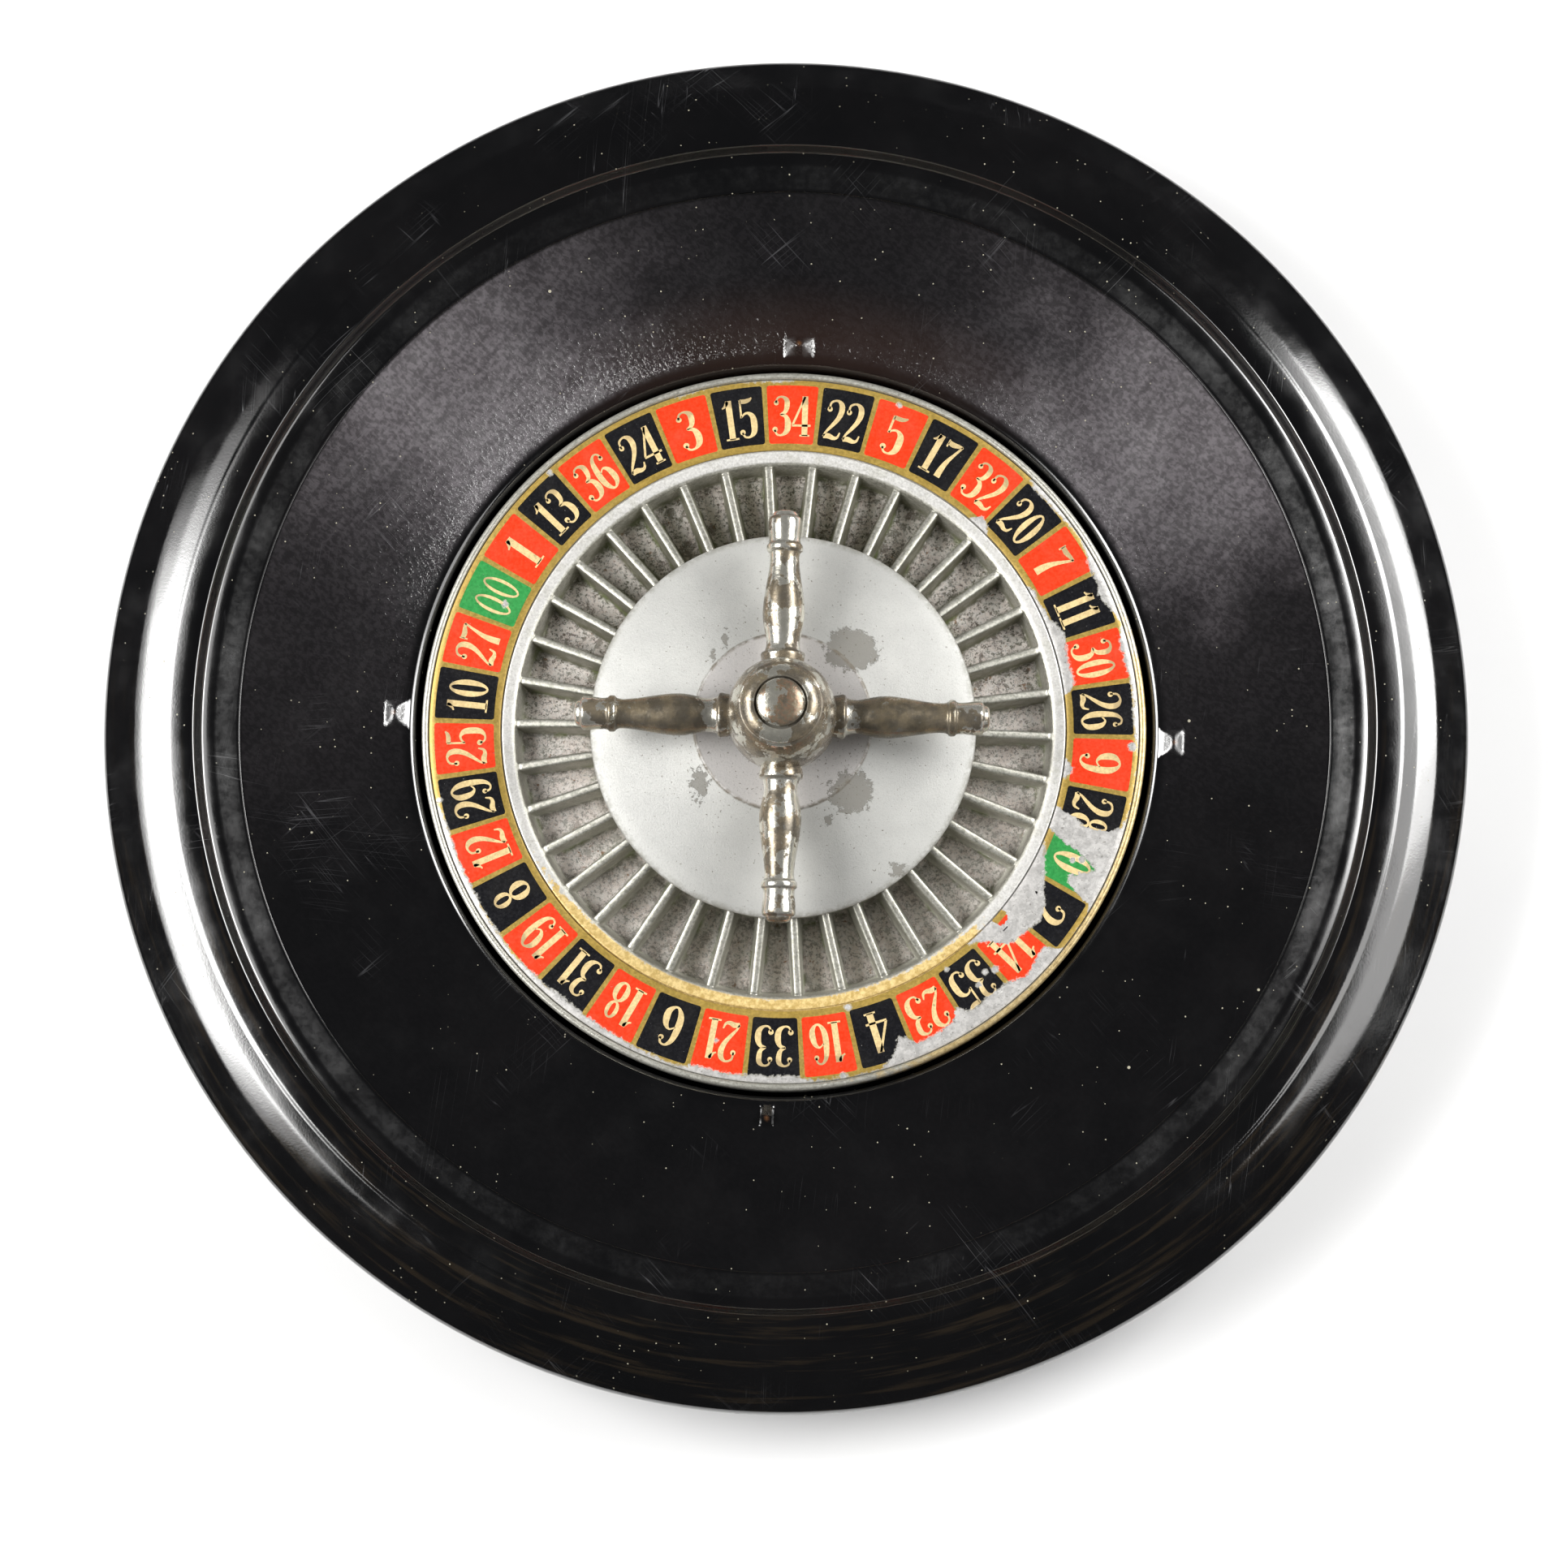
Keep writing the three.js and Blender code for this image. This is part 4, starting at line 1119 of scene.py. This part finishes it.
def make_number_ring(gold, red, black, green, cream):
    outline = (
        Outline((LABEL_INNER_R, 21.6), (LABEL_OUTER_R + 0.1, 21.6))
        .curve(2, (LABEL_OUTER_R + 0.12, 21.85), (LABEL_OUTER_R - 0.05, LABEL_TOP_Z))
        .straight(10, (LABEL_INNER_R + 0.15, LABEL_TOP_Z))
        .curve(2, (LABEL_INNER_R, 21.85), (LABEL_INNER_R, 21.6))
    )
    # The outline ends on its first point, which is needed only once.
    profile = outline.points[:-1]
    ground = piece("number_ring_ground", *lathe(profile, even(228)), gold, "rotor", crisp=50.0)
    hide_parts("number_ring")
    green_ones = {"0", "00"}
    black_ones = set(ORDER) - RED - green_ones
    for name, look, texts in (
        ("panels_red", red, RED), ("panels_black", black, black_ones), ("panels_green", green, green_ones),
    ):
        panels = [panel(k) for k, text in enumerate(ORDER) if text in texts]
        made = piece(name, *join(*panels), look, "rotor", crisp=30.0)
    shapes = digits()
    parts = [part for k, text in enumerate(ORDER) for part in numeral(text, k, shapes)]
    made = piece("numerals", *join(*parts), cream, "rotor", crisp=30.0, closed=False)


# ---------------------------------------------------------------- cone plate and turret
def make_plate(look):
    profile = (
        Outline((2.4, 30.7), (18.4, 30.7), (41.6, 24.8), (42.4, 24.5), (42.8, 24.75))
        .curve(2, (42.95, 25.2), (42.8, 25.7), (42.3, 25.98))
        .straight(6, (20.1, 31.32))
        .curve(2, (19.85, 31.42), (19.7, 31.62), (19.45, 31.76), (19.1, 31.8))
        .straight(3, (2.4, 31.8))
    ).points
    plate = piece("cone_plate_sheet", *lathe(profile, even(180)), look, "rotor", crisp=40.0)
    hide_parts("cone_plate")


def mark_seams(obj, test):
    """Paints where dirt gathers: test gives 0 to 1 from a vertex's place in mm."""
    paint(obj, "seam", [(test(*(v.co / MM)), 0.0, 0.0) for v in obj.data.vertices])


def near(value, targets, wide):
    return max(max(0.0, 1.0 - abs(value - t) / wide) for t in targets)


def make_hub(look):
    profile = (
        Outline((2.4, 32.1), (8.5, 32.1))
        .curve(4, (8.85, 32.4), (8.7, 32.85), (8.2, 33.3), (8.05, 33.9), (8.6, 35.2), (9.8, 36.1),
            (11.2, 36.8), (11.85, 37.5), (12.0, 38.3))
        .curve(5, (12.0, 41.0), (11.9, 44.0), (11.5, 47.5), (10.75, 50.8), (9.7, 53.5), (9.15, 54.7))
        .curve(2, (8.85, 55.0), (8.62, 55.08))
        .to((8.55, 55.2), (8.6, 55.4))
        .curve(3, (8.35, 55.8), (7.6, 56.4), (6.9, 56.8), (6.25, 57.0), (5.85, 57.02), (5.6, 56.85),
            (5.5, 56.2))
        .to((2.4, 56.2))
    ).points
    hub = piece("turret_hub_body", *lathe(profile, even(96)), look, "rotor", crisp=34.0)
    mark_seams(hub, lambda x, y, z: near(z, (55.15,), 0.35) * 0.8 + near(z, (33.6,), 1.2) * 0.6)
    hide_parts("turret_hub")


ARM = [
    (9.8, 4.45), (11.4, 4.55), (12.6, 4.78), (13.3, 4.85), (13.75, 4.72), (13.95, 4.3), (14.25, 4.02),
    (14.8, 3.86), (15.4, 3.72), (16.4, 3.66), (17.6, 3.84), (19.2, 4.2), (20.8, 4.48), (22.4, 4.6),
    (24.0, 4.55), (26.0, 4.33), (29.2, 3.85), (32.0, 3.42), (33.8, 3.25), (35.1, 3.24), (35.75, 3.36),
    (36.1, 3.5), (36.35, 3.82), (36.7, 3.96), (37.2, 3.98), (37.65, 3.86), (37.9, 3.6), (38.3, 3.46),
    (39.0, 3.42), (40.2, 3.5), (41.6, 3.66), (42.7, 3.7), (43.4, 3.6), (43.75, 3.3), (43.95, 2.95),
    (44.4, 2.78), (44.85, 2.5), (45.1, 2.0), (45.2, 1.4), (45.2, 0.0),
]


def make_arm(number, look):
    profile = [(0.0, ARM[0][0])] + [(r, d) for d, r in curve_through(ARM, 2)]
    points, faces = lathe(profile, even(40), closed=False)
    a = rad((180, 0, 90, 270)[number - 1] + TURRET_TURN)
    c, s = math.cos(a), math.sin(a)
    # The lathed arm stands up: its height becomes the distance along its direction.
    turned = [(d * c - x * s, d * s + x * c, ARM_Z + y) for x, y, d in points]
    arm = piece("turret_arm_%d_turned" % number, turned, faces, look, "rotor", crisp=50.0)
    mark_seams(arm, lambda x, y, z: near(math.hypot(x, y), (14.0, 36.15, 37.9, 43.85), 0.35) * 0.9)
    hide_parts("turret_arm_%d" % number)


def make_button(look):
    profile = (
        Outline((0.0, 26.0), (1.6, 26.0), (2.0, 26.4), (2.0, 56.4), (4.9, 56.4))
        .curve(4, (5.15, 56.7), (5.2, 57.1), (5.1, 57.5), (4.6, 57.9), (3.6, 58.35), (2.4, 58.65),
            (1.2, 58.78), (0.0, 58.8))
    ).points
    button = piece("turret_screw_turned", *lathe(profile, even(64), closed=False), look, "rotor", crisp=40.0)
    mark_seams(button, lambda x, y, z: 0.0)
    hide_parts("turret_screw")


# ---------------------------------------------------------------- small hidden pieces and feet
def make_small(steel, brass, black_rubber):
    spindle = (
        Outline((0.0, 2.0), (2.5, 2.0), (3.0, 2.5),
            *[(3.0 - 0.12 * (k % 2), 2.5 + 0.35 * k) for k in range(1, 9)], (3.0, 5.6), (3.0, 10.6),
            (6.2, 10.6), (6.4, 10.8), (6.4, 11.3), (6.2, 11.5), (3.0, 11.5), (3.0, 22.8))
        .curve(3, (2.5, 23.4), (1.4, 23.9), (0.0, 24.0))
    ).points
    made = piece("spindle_turned", *lathe(spindle, even(48), closed=False), steel, "bowl", crisp=30.0)
    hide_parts("spindle")
    for name, node, inner, outer, low, high, body, look, slot in (
        ("thrust_washer_flat", "thrust_washer", 3.4, 6.2, 11.7, 12.3, "bowl", brass, "brass"),
        ("spindle_washer_flat", "spindle_washer", 3.3, 8.0, 4.6, 5.4, "bowl", steel, "steel"),
        ("bearing_bush_turned", "bearing_bush", 3.3, 5.1, 12.6, 24.4, "rotor", brass, "brass"),
    ):
        e = 0.12
        profile = [(inner, low + e), (inner + e, low), (outer - e, low), (outer, low + e), (outer, high - e),
                   (outer - e, high), (inner + e, high), (inner, high - e)]
        made = piece(name, *lathe(profile, even(56)), look, body, crisp=30.0)
        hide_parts(node)
    # The nut: the chamfered ring's radii, and None where the six flats are.
    rows = [(3.15, 1.95), (4.7, 1.9), (None, 2.25), (None, 4.05), (4.7, 4.4), (3.15, 4.35)]
    points, faces = lathe([(r or 5.0, z) for r, z in rows], even(72))
    for k, a in enumerate(even(72)):
        for i, (r, z) in enumerate(rows):
            flat = 5.0 / math.cos(rad((a + 30.0) % 60.0 - 30.0))
            points[k * len(rows) + i] = (*polar(r or flat, a), z)
    made = piece("spindle_nut_hex", points, faces, steel, "bowl", crisp=25.0)
    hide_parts("spindle_nut")
    foot = [
        (0.0, 0.25), (3.6, 0.25), (3.9, 0.0), (4.9, 0.0), (5.2, 0.1), (5.42, 0.3), (5.5, 0.6), (5.35, 2.1),
        (5.2, 2.3), (0.0, 2.3),
    ]
    for k in range(3):
        points, faces = lathe(foot, even(48), closed=False)
        points = shift(points, *polar(FOOT_CIRCLE_R, 90 + 120 * k))
        made = piece("foot_%d_pad" % (k + 1), points, faces, black_rubber, "bowl", crisp=35.0)
        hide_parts("foot_%d" % (k + 1))


# ---------------------------------------------------------------- floor, light, camera
def make_floor(look):
    mesh = bpy.data.meshes.new("table_top")
    s = 3.0
    mesh.from_pydata([(-s, -s, 0), (s, -s, 0), (s, s, 0), (-s, s, 0)], [], [(0, 1, 2, 3)])
    mesh.materials.append(look)
    floor = bpy.data.objects.new("table_top", mesh)
    bpy.context.scene.collection.objects.link(floor)


def aim(obj, place, at):
    obj.location = place
    obj.rotation_mode = "QUATERNION"
    obj.rotation_quaternion = (Vector(at) - Vector(place)).to_track_quat("-Z", "Y")


def softbox(name, place, at, size, power):
    light = bpy.data.lights.new(name, "AREA")
    light.shape = "RECTANGLE"
    light.size, light.size_y = size
    light.energy = power
    light.color = (1.0, 0.995, 0.985)
    obj = bpy.data.objects.new(name, light)
    bpy.context.scene.collection.objects.link(obj)
    aim(obj, place, at)


def make_light():
    # Each side light is three sheets, one behind the other, so that its edges fade.
    # A sheet is its turn, width, height, centre's height and power.
    left = ((180.0, 1.03, 0.64, 0.70, 3.8), (180.0, 0.84, 0.52, 0.72, 5.7), (180.0, 0.68, 0.43, 0.73, 6.8))
    right = ((8.0, 1.04, 0.64, 0.66, 5.7), (20.0, 0.66, 0.38, 0.58, 3.8), (24.0, 0.50, 0.31, 0.57, 3.3))
    for name, sheets in (("left", left), ("right", right)):
        for k, (turn, wide, tall, height, power) in enumerate(sheets):
            out = 0.79 + 0.004 * k
            place = (out * math.cos(rad(turn)), out * math.sin(rad(turn)), height)
            softbox("softbox_%s_%d" % (name, k), place, (0, 0, 0.02), (wide, tall), power)
    world = bpy.data.worlds.new("room")
    world.use_nodes = True
    bpy.context.scene.world = world
    back = world.node_tree.nodes["Background"]
    back.inputs[0].default_value = (0.95, 0.97, 1.0, 1.0)
    back.inputs[1].default_value = 0.04


def make_camera():
    data = bpy.data.cameras.new("camera")
    obj = bpy.data.objects.new("camera", data)
    bpy.context.scene.collection.objects.link(obj)
    obj.location = (0.0104, -0.1121, 0.7066)
    ahead = Vector((math.sin(rad(-1.17)), math.sin(rad(4.15)), -1.0)).normalized()
    right = ahead.cross(Vector((0.0, 1.0, 0.0))).normalized()
    above = right.cross(ahead)
    obj.rotation_mode = "QUATERNION"
    obj.rotation_quaternion = Matrix((right, above, -ahead)).transposed().to_quaternion()
    data.lens = 70.98
    data.sensor_width = 36.0
    data.shift_x = 0.0047
    data.shift_y = 0.1429
    data.clip_start, data.clip_end = 0.01, 20.0
    bpy.context.scene.camera = obj


make_camera()
make_light()
make_floor(table_top())

black = bakelite()
cast = cast_metal()
plated = plated_brass()
wear = label_wear()
make_bowl(black)
make_pan(cast)
make_trough(cast)
make_number_ring(
    printed("ring_gold", (0.50, 0.34, 0.075), wear, metal=0.35, shine=0.36),
    printed("ring_red", (0.90, 0.046, 0.007), wear),
    printed("ring_black", (0.010, 0.010, 0.012), wear, shine=0.20, grain=0.02, lumps=0.003),
    printed("ring_green", (0.030, 0.30, 0.065), wear),
    printed("ring_cream", (0.80, 0.61, 0.30), wear, grain=0.30, tired=(0.36, 0.28, 0.15), ends=0.75),
)
make_plate(plate_metal())
make_hub(plated)
for number in (1, 2, 3, 4):
    make_arm(number, plated)
make_button(plated)
make_small(
    turned_metal("steel", (0.66, 0.66, 0.67), (0.36, 0.36, 0.37), (0.22, 0.13, 0.08)),
    turned_metal("brass", (0.72, 0.55, 0.27), (0.46, 0.33, 0.14), (0.20, 0.14, 0.07)),
    rubber(),
)

scene = bpy.context.scene
scene.view_settings.view_transform = "Standard"
